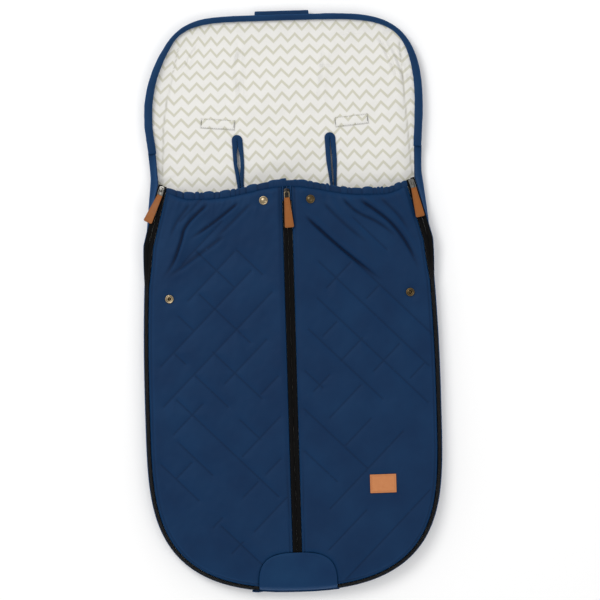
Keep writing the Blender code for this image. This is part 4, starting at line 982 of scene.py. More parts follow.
def blunt(half, long=0.145, bend=1.3):
    """Half widths of a slot whose ends are round."""
    near = np.minimum(STEPS, 1 - STEPS) * long / (bend * half)
    return half * np.sqrt(np.maximum(1 - (1 - np.minimum(near, 1)) ** 2, 0))


# %% Harness slits and the way the hood lies
def cut_slits(obj):
    """Cuts both harness slits through a piece."""
    for sign in SIDES.values():
        ends = (-0.02, 0.05)
        rings = np.stack([slit_ring(blunt(0.0050), 0.1456, sign, z) for z in ends])
        cutter = tube("cutter", rings, NAVY)
        modifier = obj.modifiers.new("slit", "BOOLEAN")
        modifier.object, modifier.operation, modifier.solver = cutter, "DIFFERENCE", "EXACT"
        bpy.context.view_layer.objects.active = obj
        bpy.ops.object.modifier_apply(modifier=modifier.name)
        bpy.data.objects.remove(cutter, do_unlink=True)


def settle(obj):
    """The left shoulder of the hood lies a little drawn in, and the side below it spreads."""
    spots = points_of(obj)
    places = (0.200, 0.262, 0.305, 0.345, 0.378, 0.414, 0.440, 0.500)
    shifts = (0.0, -0.0025, -0.0045, -0.0020, 0.0030, 0.0100, 0.0140, 0.0140)
    share = smooth((-spots[:, 0] - 0.10) / 0.12)
    spots[:, 0] += share * np.interp(spots[:, 1], places, shifts)
    obj.data.vertices.foreach_set("co", spots.ravel())
    obj.data.update()


# %% Outer cloth of the back
def back_outer_cloth():
    """The navy underside, turned up round the rim."""
    plan, flat, gap = back_plan(111, 0.0065)
    wrinkle = 0.0004 * (1 + noise(flat, 0.05, 21)) + 0.0002 * (1 + noise(flat, 0.016, 22))
    under = rolled(gap) + wrinkle * smooth((gap - 0.010) / 0.03)
    upper = sheet(plan, under + 0.0011 * smooth(gap / 0.002))
    obj = pad("back_outer_cloth", upper, sheet(plan, under), plan, NAVY)
    cut_slits(obj)
    settle(obj)
    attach(obj, "root")
    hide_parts("back_shell")
    return obj


outer = back_outer_cloth()
print(outer.name, len(outer.data.polygons), "faces")

# %% [markdown]
# The pad shows at the hood, so this is where its creases are: one long soft crease on each
# side of the middle, a few at the right shoulder, a seam down each side where the side panel
# joins, and small puckers all round, where the binding draws the cloth in.

# %% Printed pad
PAD_INSET = 0.0042
CREASES = [
    (0.0022, 0.0030, [(-0.0775, 0.462), (-0.0805, 0.400), (-0.079, 0.360), (-0.074, 0.320)]),
    (0.0012, 0.0030, [(-0.088, 0.420), (-0.082, 0.395), (-0.083, 0.350)]),
    (0.0015, 0.0032, [(0.073, 0.445), (0.069, 0.405), (0.0635, 0.360), (0.064, 0.330)]),
    (0.0010, 0.0026, [(0.060, 0.402), (0.078, 0.408), (0.090, 0.398)]),
    (0.0020, 0.0034, [(0.168, 0.460), (0.186, 0.420), (0.203, 0.372)]),
    (0.0014, 0.0030, [(0.192, 0.440), (0.206, 0.405), (0.212, 0.360)]),
    (0.0013, 0.0030, [(-0.150, 0.455), (-0.172, 0.430), (-0.185, 0.395)]),
    (0.0010, 0.0028, [(0.060, 0.470), (0.110, 0.462), (0.150, 0.466)]),
]
PAD_SEAMS = [
    [(-0.196, 0.445), (-0.2065, 0.330), (-0.2175, 0.214), (-0.222, 0.100)],
    [(0.205, 0.445), (0.2125, 0.330), (0.2205, 0.214), (0.224, 0.100)],
]


def rim_puckers(flat, gap, seed):
    """Small gathers that run in from the binding."""
    turn = np.arctan2(flat[:, 1] - 0.30, flat[:, 0])
    rng = np.random.default_rng(seed)
    total = np.zeros(len(flat))
    for _ in range(46):
        place = rng.uniform(-0.5, np.pi + 0.5)
        wide = rng.uniform(0.010, 0.022)
        long = rng.uniform(0.008, 0.026)
        off = (turn - place + np.pi) % (2 * np.pi) - np.pi
        total += rng.uniform(0.4, 1.0) * bell(off, wide) * np.exp(-gap / long)
    return total


def pad_relief(flat, gap):
    """Height of the pad above its plain level, and the painted shade along its seams."""
    hood = smooth((flat[:, 1] - 0.12) / 0.08)
    relief = 0.0014 * noise(flat, 0.055, 5) + 0.0006 * noise(flat, 0.018, 6)
    puckers = rim_puckers(flat, np.maximum(gap - 0.012, 0), 7)
    relief = relief * (0.35 + 0.65 * hood) + 0.0024 * puckers * hood
    seam = np.minimum.reduce([to_path(flat, path)[0] for path in PAD_SEAMS])
    relief += 0.0012 * (1 - np.exp(-seam / 0.006)) - 0.0012
    for depth, width, path in CREASES:
        near, share = to_path(flat, rounded_path(path))
        fade = smooth(share / 0.25) * smooth((1 - share) / 0.3)
        profile = 0.5 * bell(near - 1.6 * width, width) - bell(near, 0.5 * width)
        relief += 2.3 * depth * fade * profile
    x, y = np.abs(flat[:, 0]), flat[:, 1]
    guide = np.hypot((x - GUIDE_MIDDLE[0]) / 1.6, y - GUIDE_MIDDLE[1])
    slit = np.maximum(np.abs(x - SLIT["x"]) - 0.008, np.abs(y - SLIT["y"]) - 0.075)
    held = smooth((guide - 0.018) / 0.02) * smooth(slit / 0.015)
    # The second value is painted shade along the side seams.
    return relief * held - 0.0004 * (1 - held), bell(seam, 0.0011)


def printed_pad():
    """The lining on its wadding, drawn in from the rim and turned up there."""
    plan, flat, gap = back_plan(131, 0.0030)
    relief, painted_shade = pad_relief(flat, gap)
    turned_up = 0.0034 * (1 - smooth((gap - 0.003) / 0.017))
    inside = smooth((gap - 0.0012) / 0.012)
    top = BACK_TOP + turned_up + relief * inside - 0.0003
    base = np.minimum(rolled(gap) + 0.0016, top - 0.0004)
    narrow = 1 - PAD_INSET / np.maximum(half_width(plan[..., 1]), 0.02)
    inner = plan * np.stack([narrow, np.ones_like(narrow)], 2)
    inner[..., 1] -= PAD_INSET * smooth((inner[..., 1] - 0.34) / 0.12)
    inner[..., 1] = np.maximum(inner[..., 1], Y_FOOT + PAD_INSET)
    obj = pad("printed_pad", sheet(inner, top), sheet(inner, base), plan, PRINT)
    # The painted shade along the seams is kept at each vertex.
    attribute(obj, "painted_shade", at_vertices(obj, inner.reshape(-1, 2), painted_shade, 0))
    cut_slits(obj)
    settle(obj)
    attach(obj, "root")
    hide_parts("back_lining", "back_wadding")
    return obj


inner_pad = printed_pad()
print(inner_pad.name, len(inner_pad.data.polygons), "faces")

# %% [markdown]
# ## Stitches
# A seam is a row of short raised threads. Each one is a stretched sphere of 24 faces, laid
# along a path at the pitch of the real seam.


# %% Rows of stitches
def stitch_row(name, paths, thread, body, pitch=0.0032, share=0.72, radius=0.00028):
    """Threads along one or more paths of points in space."""
    bm = bmesh.new()
    count = 0
    for path in paths:
        spots = resampled(path, pitch)
        for spot, way in zip(spots, np.gradient(spots, axis=0)):
            turn = Vector((1, 0, 0)).rotation_difference(Vector(way)).to_matrix().to_4x4()
            size = Matrix.Diagonal((pitch * share / 2, radius, radius, 1))
            place = Matrix.Translation(spot) @ turn @ size
            bmesh.ops.create_uvsphere(bm, u_segments=6, v_segments=4, radius=1, matrix=place)
            count += 1
    obj = finish_mesh(name, bm, thread, merge=False)
    if body == "root":
        settle(obj)
    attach(obj, body)
    print(name, count, "stitches")
    return obj


# %% [markdown]
# ## Slit bindings and belt guides
# Each harness slit is bound like a long buttonhole: a navy roll, broad near its top, that
# dives through the back as a sleeve. Beside its top a strip of lining is sewn flat, with a
# bar tack at each end, to guide the belt.


# %% Bound slits
def rounded_off(rings, times=2):
    """Cuts the corners of a closed row of rings, so that their section turns smoothly."""
    for _ in range(times):
        following = np.roll(rings, -1, 0)
        pair = np.stack([0.75 * rings + 0.25 * following, 0.25 * rings + 0.75 * following], 1)
        rings = pair.reshape(-1, *rings.shape[1:])
    return rings


def slit_binding(side, sign):
    """A padded roll round the slit, on a sleeve; its lips all but close lower down."""
    seat = BACK_TOP + 0.0003
    if sign < 0:
        lips = 0.0002 + 0.0024 * smooth((STEPS - 0.54) / 0.12) * smooth((0.92 - STEPS) / 0.14)
    else:
        lips = 0.0004 + 0.0009 * smooth((STEPS - 0.36) / 0.10) * smooth((0.93 - STEPS) / 0.15)
    lips = lips * np.minimum(1, 12 * np.sin(np.pi * STEPS))
    leaf = 0.58 + 0.42 * smooth((STEPS - 0.36) / 0.36)
    outer = blunt(0.0055 + 0.0040, 0.1505, 1.0) * leaf
    section = [
        (lips + 0.0004, 0.133, 0.0062),
        (blunt(0.0046), 0.1445, 0.0062),
        (blunt(0.0046), 0.1445, seat - 0.0030),
        (blunt(0.0048), 0.1455, seat - 0.0010),
        (outer - 0.0004, 0.1495, seat + 0.0001),
        (outer, 0.1505, seat + 0.0012),
        (0.35 * lips + 0.65 * outer, 0.1480, seat + 0.0030),
        (0.75 * lips + 0.25 * outer, 0.1400, seat + 0.0028),
        (lips, 0.1335, seat + 0.0012),
        (lips + 0.0001, 0.133, seat - 0.0020),
    ]
    rings = [slit_ring(np.maximum(wide, 0.00012), long, sign, z) for wide, long, z in section]
    rings = rounded_off(np.stack(rings)).transpose(1, 0, 2)
    obj = tube("harness_slit_" + side, rings, BINDING, closed_path=True)
    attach(obj, "root")
    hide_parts("harness_slit_binding_" + side)


# %% Belt guides
def belt_guide(side, sign):
    """A strip of lining sewn down all round, with a bar tack at each end."""
    turn = math.radians(sign * 5.0)
    t, s = np.meshgrid(np.linspace(-0.5, 0.5, 41), np.linspace(-0.5, 0.5, 15))
    x, y = t * GUIDE_LONG, s * GUIDE_WIDE
    middle_x, middle_y = sign * GUIDE_MIDDLE[0], GUIDE_MIDDLE[1]
    place_x = middle_x + x * math.cos(turn) - y * math.sin(turn)
    place_y = middle_y + x * math.sin(turn) + y * math.cos(turn)
    plan = np.stack([place_x, place_y], 2)
    rim = np.minimum((0.5 - np.abs(t)) * GUIDE_LONG, (0.5 - np.abs(s)) * GUIDE_WIDE)
    uneven = noise(plan.reshape(-1, 2), 0.01, 9 + sign).reshape(x.shape)
    swell = 0.0007 * smooth((rim - 0.0016) / 0.003) + 0.0004 * uneven
    upper = sheet(plan, BACK_TOP + 0.0008 + swell * smooth(rim / 0.001))
    lower = sheet(plan, np.full(x.shape, BACK_TOP - 0.0002))
    obj = pad("belt_guide_strip_" + side, upper, lower, plan, GUIDE_PRINT)
    settle(obj)
    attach(obj, "root")
    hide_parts("belt_guide_" + side)
    inset = [GUIDE_LONG / 2 - 0.0012, GUIDE_WIDE / 2 - 0.0012]
    corners = np.array([(-1, -1), (1, -1), (1, 1), (-1, 1), (-1, -1)]) * inset
    across = [[math.cos(turn), math.sin(turn)], [-math.sin(turn), math.cos(turn)]]
    corners = corners @ np.array(across) + [middle_x, middle_y]
    loop = np.column_stack([corners, np.full(5, BACK_TOP + 0.0012)])
    name, slot = "belt_guide_stitches_" + side, "printed_lining"
    stitch_row(name, [loop], GREY_THREAD, "root", 0.0030)
    bars = []
    for a, b in ((loop[0], loop[3]), (loop[1], loop[2])):
        middle, half = (a + b) / 2, (b - a) * 0.30
        bars.append(np.array([middle - half, middle + half]) + [0, 0, 0.0003])
    name = "belt_guide_bar_tacks_" + side
    stitch_row(name, bars, GREY_THREAD, "root", 0.0007, 2.2, 0.0005)


for side, sign in SIDES.items():
    slit_binding(side, sign)
    belt_guide(side, sign)

# %% [markdown]
# ## The hood binding
# A strip of shell cloth is folded over the hood's edge and padded into a roll. It is
# slimmer across the head than at the sides, and it puckers a little where it turns.


# %% Hood binding
def superellipse(count, power=2.4):
    """Points round a section between a circle and a square."""
    turn = np.linspace(0, 2 * np.pi, count, endpoint=False)
    waves = (np.cos(turn), np.sin(turn))
    return np.stack([np.sign(w) * np.abs(w) ** (2 / power) for w in waves], 1)


def roll_width(normal):
    """Broad down the sides, slimmer across the head, slimmest round the shoulders."""
    return 0.0140 - 0.0038 * normal[1] ** 2 - 0.0034 * (2 * normal[0] * normal[1]) ** 2


def hood_binding():
    """The padded roll along the hood's edge, square below where it sits on the back."""
    start = BINDING_END - 0.003
    right = OUTLINE[OUTLINE[:, 1] > BINDING_END]
    right = np.concatenate([[[float(half_width(start)), start]], right])
    path = resampled(np.concatenate([right, right[::-1][1:] * [-1, 1]]), 0.0024)
    normals = outward(path)
    section = superellipse(18)
    rings = []
    pucker = noise(path, 0.010, 31) * 0.5 + noise(path, 0.03, 32) * 0.5
    for p, n, ripple in zip(path, normals, pucker):
        wide = roll_width(n)
        centre = p - n * wide / 2
        out = wide / 2 * (1 + 0.05 * ripple) * section[:, 0]
        up = 0.0045 * (1 + 0.10 * ripple) * section[:, 1]
        up = np.where(up < 0, -0.0059 * np.abs(section[:, 1]) ** 0.5, up)
        rings.append(np.column_stack([centre[0] + n[0] * out, centre[1] + n[1] * out, 0.0188 + up]))
    obj = tube("hood_edge_roll", np.array(rings), BINDING)
    settle(obj)
    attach(obj, "root")
    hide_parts("hood_binding")
    inner = [[*(p - n * (roll_width(n) - 0.0020)), 0.0222] for p, n in zip(path, normals)]
    stitch_row("hood_edge_stitches", [np.array(inner)], NAVY_THREAD, "root")
    return obj


print(len(hood_binding().data.polygons), "faces in the hood roll")


# %% Side gussets
GUSSET_END = 0.2617


def gusset_edges():
    """The strip's lower edge on the rim, its upper edge at the zip, and plan normals."""
    top = zip_point(STATIONS, -EDGE, -SEAT)
    foot = STATIONS[:, :2] + STATIONS[:, 2:4] * ZIP_INSET
    normal = STATIONS[:, 2:4].copy()
    high = STATIONS[:, 1] > ZIP_LEAVES_RIM
    foot[high] = np.stack([half_width(top[high, 1]), top[high, 1]], 1)
    normal[high] = (1, 0)
    foot[:, 0] = np.maximum(foot[:, 0], 0.0002)
    low = np.column_stack([foot, np.full(len(foot), RIM - 0.0009)])
    end_x = float(half_width(GUSSET_END))
    low_end = np.array([end_x, GUSSET_END, RIM - 0.0009])
    top_end = np.array([end_x - 0.013, GUSSET_END, 0.0203])
    share = smooth(np.linspace(0, 1, 15))[1:, None]
    beyond = low[-1] + (low_end - low[-1]) * share
    beyond[:, 0] = half_width(beyond[:, 1])
    low = np.concatenate([low, beyond])
    top = np.concatenate([top, top[-1] + (top_end - top[-1]) * share])
    return low, top, np.concatenate([normal, np.repeat([[1.0, 0.0]], 14, 0)])


def side_gusset(side, sign):
    """The soft strip between the rim of the back and the side zip."""
    low, top, normal = gusset_edges()
    across = top - low
    along = np.column_stack([-normal[:, 1], normal[:, 0], np.zeros(len(normal))])
    out = np.cross(across, along)
    out /= np.linalg.norm(out, axis=1)[:, None]
    s = np.linspace(0, 1, 7)
    rows = np.arange(len(low))
    ripple = 0.0004 * np.sin(rows * 1.7) * np.sin(rows * 0.43)
    outer_face = low[:, None] + across[:, None] * s[None, :, None]
    outer_face += out[:, None] * (0.0016 * 4 * s * (1 - s))[None, :, None]
    outer_face += out[:, None] * ripple[:, None, None] * (s * (1 - s) * 4)[None, :, None]
    inner_face = outer_face - out[:, None] * 0.0014
    rings = np.concatenate([outer_face, inner_face[:, ::-1]], 1)
    rings[..., 0] *= sign
    obj = tube("side_strip_" + side, rings, NAVY)
    settle(obj)
    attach(obj, "root")
    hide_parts("side_gusset_" + side)
    return obj


for side, sign in SIDES.items():
    print(side_gusset(side, sign).name)

# %% [markdown]
# ## Zips
# A zip half is a thin tape with a coil along its edge. The coil is a small tube whose width
# swells and pinches at every turn.


# %% Zip halves
COIL_START, COIL_PITCH = 0.00008, 0.00125


def dense(rows, step):
    """Zip stations at an even spacing."""
    along = lengths_along(rows[:, :2])
    return picked(rows, along, np.linspace(0, along[-1], max(int(along[-1] / step), 2)))


def zip_half(name, rows, towards, sign):
    """Tape and coil on one side of the zip's middle line."""
    inner = COIL_OUT - 0.0002
    corners = [(inner, -TAPE), (inner, TAPE)]
    corners += [(0.0048, TAPE), (BAND, TAPE), (BAND, -TAPE), (0.0048, -TAPE)]
    tape_rows = dense(rows, 0.004)
    rings = np.stack([zip_point(tape_rows, towards * a, b, sign) for a, b in corners], 1)
    tape = tube(name + "_tape", rings, TAPE_CLOTH)
    coil_rows = dense(rows, COIL_PITCH / 2)
    pinch = np.where(np.arange(len(coil_rows)) % 2 == 0, 1.0, 0.78)
    middle, half = (COIL_START + COIL_OUT) / 2, (COIL_OUT - COIL_START) / 2
    rings = []
    for a, b in superellipse(6, 2.2):
        above = 0.00072 * b * (0.5 + 0.5 * pinch)
        rings.append(zip_point(coil_rows, towards * (middle + half * a * pinch), above, sign))
    coil = tube(name + "_coil", np.stack(rings, 1), NYLON)
    return joined(name, [tape, coil])


def between(rows, axis, low, high):
    """The stations between two values of x or y, cut exactly at both."""
    kept = dense(rows, 0.0015)
    return kept[(kept[:, axis] >= low) & (kept[:, axis] <= high)]


WIDEST = STATIONS[:, 0].argmax()
foot_rows = between(STATIONS[: WIDEST + 1], 0, 0.0669, 1.0)
side_rows = STATIONS[WIDEST:]
for side, sign in SIDES.items():
    whole = np.concatenate([foot_rows, side_rows[1:]])
    back = zip_half("side_zip_back_half_" + side, whole, -1, sign)
    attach(back, "root")
    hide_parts("back_zip_half_" + side)
    short = np.concatenate([foot_rows, between(side_rows, 1, -1.0, 0.1834)[1:]])
    front = zip_half("side_zip_cover_half_" + side, short, 1, sign)
    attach(front, "cover")
    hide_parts("cover_zip_half_" + side)
    y = np.linspace(CROWN_FOOT_Y + 0.0006, 0.1717, 60)
    zero = np.zeros(60)
    rows = np.stack([zero, y, zero - 1, zero, crown_z(y) - COIL_HIGH, zero], 1)
    centre = zip_half("centre_zip_half_dressed_" + side, rows, 1, sign)
    bend_with_lapel(centre)
    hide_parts("centre_zip_half_" + side, "lapel_zip_half_" + side)
    end_rows = between(side_rows, 1, short[-1, 1] - 1e-6, 0.2045)
    end_rows[0, 1] += 0.00006
    end = zip_half("side_zip_lapel_end_" + side, end_rows, 1, sign)
    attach(end, "lapel_" + side)
    print(side, "zips:", sum(len(p.data.polygons) for p in (back, front, centre)), "faces")


def zip_end(side, sign):
    """Folded cloth beside and under the parked slider, where the centre zip's tape stops."""
    y = np.linspace(0.1700, 0.2062, 9)
    z = crown_z(y) - COIL_HIGH
    section = [
        (7.9, 0.3), (5.3, 0.2), (5.1, -3.0), (0.05, -3.1),
        (0.05, -3.7), (5.6, -3.5), (5.8, -0.6), (7.9, -0.6),
    ]
    rings = [[(sign * a / 1000, y[k], z[k] + b / 1000) for a, b in section] for k in range(9)]
    obj = tube("zip_end_fold_" + side, np.array(rings), BINDING)
    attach(obj, "lapel_" + side)


for side, sign in SIDES.items():
    zip_end(side, sign)

# %% [markdown]
# ## The elastic hem
# The top edge of the cover is a casing with an elastic in it. The elastic is shorter than
# the cloth, so the casing bunches into uneven rolls 6 to 19 mm apart that swell upwards and
# give the top edge its scalloped line. Both halves reach the middle, above the slider.


# %% Hem casings
MEETING = 0.00001


def gathers(x, seed):
    """Rounded lobes with sharp pinches between them, from 0 to 1, and how each leans."""
    rng = np.random.default_rng(seed)
    ends = np.concatenate([[0.0], np.cumsum(rng.choice([0.006, 0.009, 0.012, 0.019], 30))])
    heights, leans = rng.uniform(0.25, 1.0, 30), rng.uniform(-1.2, 1.2, 30)
    k = np.clip(np.searchsorted(ends, x, side="right") - 1, 0, 29)
    share = (x - ends[k]) / (ends[k + 1] - ends[k])
    lobe = np.maximum(1 - (2 * share - 1) ** 2, 0) ** 0.55
    lean = np.interp(x, (ends[:-1] + ends[1:]) / 2, leans)
    return lobe * heights[k], lean


def hem_casing(side, sign):
    """Bunched cloth over the elastic; smoother near the middle, where the zip ends."""
    x = np.concatenate([[MEETING], np.arange(0.0006, 0.2074, 0.0009)])
    y = hem_y(x)
    z = cover_z(np.maximum(x, EDGE), y)
    lobe, lean = gathers(x, 41 if sign < 0 else 44)
    bunched = 0.25 + 0.75 * smooth((x - 0.012) / 0.035)
    tip = 0.0016 * bell(x, 0.014) * -sign
    ends = smooth((0.2086 - x) / 0.004)
    out, above = superellipse(30, 2.8).T
    rise, face = np.clip(out, 0, 1), np.clip(above, 0, 1)
    ripple = noise(np.stack([x, y], 1), 0.0035, 43)
    rings = []
    for k in range(len(x)):
        puff = (lobe[k] - 0.55) * bunched[k]
        deep = 0.0065 * (0.75 + 0.25 * ends[k]) * out + rise * (0.0038 * puff + tip[k])
        tall = 0.0056 * (0.6 + 0.4 * ends[k]) * above
        tall = tall + face * (0.0020 * puff + 0.0004 * ripple[k])
        drift = 0.0030 * lean[k] * bunched[k] * (1 - out**2) * face
        spot = np.clip(x[k] + drift * np.clip(x[k] / 0.01, 0, 1), MEETING, 0.2080)
        rings.append(np.column_stack([sign * spot, y[k] - 0.0065 + deep, z[k] - 0.0045 + tall]))
    obj = tube("elastic_hem_" + side, np.array(rings), NAVY)
    # Painted shade in the pinches between the lobes and along the seam under the casing.
    pinch = np.exp(-(lobe / 0.22)) * bunched
    spots = points_of(obj)
    values = 0.85 * np.interp(np.abs(spots[:, 0]), x, pinch)
    low = (hem_y(spots[:, 0]) - CASING + 0.0010 - spots[:, 1]) / 0.0012
    attribute(obj, "painted_shade", np.clip(values + 0.5 * smooth(low), 0, 1))
    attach(obj, "lapel_" + side)
    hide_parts("hem_casing_" + side, "hem_elastic_" + side)
    return obj


for side, sign in SIDES.items():
    print(hem_casing(side, sign).name)

# %% [markdown]
# ## Foot patch and end tabs
# An arched patch of shell cloth covers the foot ends of all the zips and folds down over
# the edge. A wide tab is sewn under the foot and another stands out at the head.


# %% Foot patch
def under_pull(x):
    """1 in the middle, where the parked pull of a lowered slider lies on the patch."""
    return np.exp(-((x / 0.022) ** 4))


def foot_patch():
    """The arched patch and its border stitches."""
    half = arch(30, 0.0008)
    line = np.concatenate([half[::-1][:-1] * [-1, 1], half])
    x = line[:, 0]
    edge_y = np.interp(np.abs(x), *SEWN[:FOOT_STATIONS, :2].T)
    depth = np.maximum(line[:, 1] - edge_y, 0.0006)
    rows = []
    for share in np.concatenate([np.linspace(1, 0.08, 16), [0.03]]):
        y = edge_y + depth * share
        inside = (1 - share) * depth
        rise = 0.0010 - 0.0013 * (under_pull(x) * smooth((0.045 - inside) / 0.012))
        z = cover_z(x, y) + 0.0012 + rise * smooth(inside / 0.006)
        rows.append(np.column_stack([x, y, z]))
    edge_z = rows[-1][:, 2]
    for step in (0.15, 0.4, 0.7, 1.0):
        y = edge_y - 0.0066 * step - 0.0010 * math.sin(math.pi * step)
        rows.append(np.column_stack([x, y, edge_z - 0.0012 - 0.0141 * step]))
    top = np.array(rows)
    flat = top[..., :2].reshape(-1, 2)
    top[..., 2] += 0.0003 * noise(flat, 0.02, 51).reshape(top.shape[:2])
    inward = np.zeros(top.shape)
    inward[:17, :, 2], inward[17:, :, 1], inward[17:, :, 2] = -0.0016, 0.0012, -0.0006
    uv = np.stack([top[..., 0], top[..., 1] + (top[..., 2] - top[..., 2].max()) * 0.6], 2)
    obj = pad("foot_patch_cloth", top, top + inward, uv, BINDING)
    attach(obj, "cover")
    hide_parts("foot_patch")
    middle = np.array([0.0, float(edge_y.min())])
    seam = middle + (line - middle) * 0.935
    z = cover_z(seam[:, 0], seam[:, 1]) + 0.0023 - 0.0013 * under_pull(seam[:, 0])
    seam = np.column_stack([seam, z])[4:-4]
    stitch_row("foot_patch_stitches", [seam], NAVY_THREAD, "cover")


# %% End tabs
def foot_line(x):
    """How far the foot's edge has turned up at this x; the strip's left end stands proud."""
    edge = float(np.interp(abs(x), SEWN_FOOT[:, 0], SEWN_FOOT[:, 1])) - Y_FOOT
    return edge - 0.0022 * float(smooth((-x - 0.060) / 0.010))


SEWN_FOOT = OUTLINE[OUTLINE[:, 1] < Y_FOOT + 0.03]
SEWN_FOOT = SEWN_FOOT[SEWN_FOOT[:, 0].argsort()]


def soft_block(name, low, high, cad_node, follow=lambda x: 0.0):
    """A folded strip of cloth: a cut-up block with rounded edges and a little wave."""
    bm = bmesh.new()
    bmesh.ops.create_cube(bm, size=1.0)
    size = [b - a for a, b in zip(low, high)]
    middle = [(a + b) / 2 for a, b in zip(low, high)]
    place = Matrix.Translation(middle) @ Matrix.Diagonal((*size, 1.0))
    bmesh.ops.transform(bm, matrix=place, verts=bm.verts)
    long = [e for e in bm.edges if abs(e.verts[0].co.x - e.verts[1].co.x) > size[0] / 2]
    bmesh.ops.subdivide_edges(bm, edges=long, cuts=31, use_grid_fill=True)
    rims = [e for e in bm.edges if e.calc_face_angle(0) > 1]
    bmesh.ops.bevel(
        bm, geom=rims, offset=min(size) * 0.28, segments=3, profile=0.5, affect="EDGES", material=-1
    )
    for vert in bm.verts:
        wave = math.sin(vert.co.x * 130) + math.sin(vert.co.x * 310 + 1)
        vert.co.z += 0.00025 * wave
        vert.co.y += follow(vert.co.x)
    layer = bm.loops.layers.uv.new("UVMap")
    for face in bm.faces:
        for loop in face.loops:
            loop[layer].uv = (loop.vert.co.x, loop.vert.co.y + loop.vert.co.z)
    obj = finish_mesh(name, bm, BINDING)
    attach(obj, "root")
    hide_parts(cad_node)


foot_patch()
corners = (-0.0465, Y_HEAD - 0.005, 0.0098), (0.0465, Y_HEAD + 0.007, 0.0162)
soft_block("head_loop", *corners, "head_tab")
corners = (-0.0795, Y_FOOT - 0.0020, 0.0042), (0.0705, Y_FOOT - 0.0001, 0.0196)
soft_block("foot_end_strip", *corners, "foot_end_tab", foot_line)
left, right, low, high = -0.076, 0.067, 0.007, 0.017
corners = [(left, low), (right, low), (right, high), (left, high), (left, low)]
strip = resampled(corners, 0.002)
strip = np.array([[x, Y_FOOT - 0.0019 + foot_line(x), z] for x, z in strip])
stitch_row("foot_end_stitches", [strip], NAVY_THREAD, "root")
line = np.array([[-0.044, Y_HEAD + 0.0048, 0.0163], [0.044, Y_HEAD + 0.0048, 0.0163]])
stitch_row("head_loop_stitches", [line], NAVY_THREAD, "root")

# %% [markdown]
# ## Press studs
# Four press studs let the lapels be folded down and held. The caps above are domed brass
# with a rolled rim, and the sockets below are a ring round a hollow with its spring. Each
# is a profile spun round its own axis, which stands square on the cloth.


# %% Press studs
GAP = 0.0003


def on_cover(x, y, drop):
    """A frame standing square on the cover's lattice at this place."""
    step = 0.0075
    slope_x = float(cover_z(x + step, y) - cover_z(x - step, y)) / (2 * step)
    slope_y = float(cover_z(x, y + step) - cover_z(x, y - step)) / (2 * step)
    up = Vector((-slope_x, -slope_y, 1.0)).normalized()
    turn = Vector((0, 0, 1)).rotation_difference(up).to_matrix().to_4x4()
    return Matrix.Translation(Vector((x, y, float(cover_z(x, y)))) - up * drop) @ turn


def spun(name, profile, metal, matrix):
    """A turned piece from (radius, height) pairs, from its top point to its bottom point."""
    bm = bmesh.new()
    verts = [bm.verts.new((radius, 0.0, height)) for radius, height in profile]
    edges = [bm.edges.new(pair) for pair in zip(verts, verts[1:])]
    bmesh.ops.spin(
        bm,
        geom=verts + edges,
        axis=(0, 0, 1),
        cent=(0, 0, 0),
        angle=2 * math.pi,
        steps=40,
        use_merge=True,
    )
    bmesh.ops.transform(bm, matrix=matrix, verts=bm.verts)
    return finish_mesh(name, bm, metal)


CAP = [
    (0, 3.0), (1.2, 2.97), (2.6, 2.80), (3.9, 2.42), (4.9, 1.90), (5.4, 1.55), (5.6, 1.42),
    (5.85, 1.46), (6.2, 1.62), (6.7, 1.66), (7.15, 1.45), (7.4, 1.0), (7.4, 0.5), (7.2, 0.1),
    (0, 0.1),
]
SOCKET = [
    (0, 1.05), (0.9, 1.0), (1.15, 0.7), (2.3, 0.62), (2.7, 0.75), (2.95, 1.5), (3.3, 2.0),
    (3.8, 2.25), (4.3, 2.2), (4.7, 1.85), (5.1, 1.72), (5.6, 1.85), (6.2, 2.2), (6.8, 2.15),
    (7.25, 1.6), (7.4, 0.9), (7.3, 0.2), (0, 0.1),
]
for side, sign in SIDES.items():
    for level, spot, profile, body in (
        ("cap", UPPER_SNAP, CAP, "lapel_" + side),
        ("socket", LOWER_SNAP, SOCKET, "cover"),
    ):
        metal = BRASS if side == "left" else OLD_BRASS
        scaled = [(r / 1000, h / 1000) for r, h in profile]
        place = on_cover(sign * spot[0], spot[1], -2 * GAP)
        stud = spun(f"press_stud_{level}_{side}", scaled, metal, place)
        if level == "socket":
            stud.data.materials.append(OLD_BRASS)
            middle = Vector(place.translation)
            for face in stud.data.polygons:
                if (face.center - middle).length < 0.0034:
                    face.material_index = 1
        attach(stud, body)
        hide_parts(f"snap_{level}_{side}")
    for level in ("upper", "lower"):
        washer = bpy.data.objects[f"snap_washer_{level}_{side}"]
        for each in washer.material_slots:
            each.material = OLD_BRASS
print("4 press studs")

# %% [markdown]
# ## Sliders
# A slider is two plates with flared shoulders on a wedge, and an arch on top that holds the
# pull's wire link. Its frame runs up the zip and stands off the zip's face.


# %% Slider frames and metal
def slider_frames():
    """Where each slider's top end is: Y up the zip, Z off its face."""
    slope = float(crown_z(1.0) - crown_z(0.0))
    turn = Matrix.Rotation(math.atan(slope), 4, "X")
    frames = {"centre": Matrix.Translation((0, 0.192, float(crown_z(0.192)) - COIL_HIGH)) @ turn}
    row = between(side_rows, 1, 0.15, 1.0)
    height = [float(np.interp(0.203, row[:, 1], row[:, k])) for k in range(6)]
    for side, sign in SIDES.items():
        here = zip_point(np.array([height]), 0.0, 0.0, sign)[0]
        face = Vector(zip_point(np.array([height]), 0.0, 1.0, sign)[0] - here)
        forward = Vector((-sign * height[3], height[2], 0.0))
        across = forward.cross(face).normalized()
        turn = Matrix((across, forward, face)).transposed().to_4x4()
        frames[side] = Matrix.Translation(here) @ turn
    return frames


FRAMES = slider_frames()
INNER = COIL_HIGH + 1.5 * GAP
OUTER = INNER + 0.0014
PIVOT = Matrix.Translation((0, -0.006, OUTER + 0.0007 + 2 * GAP))


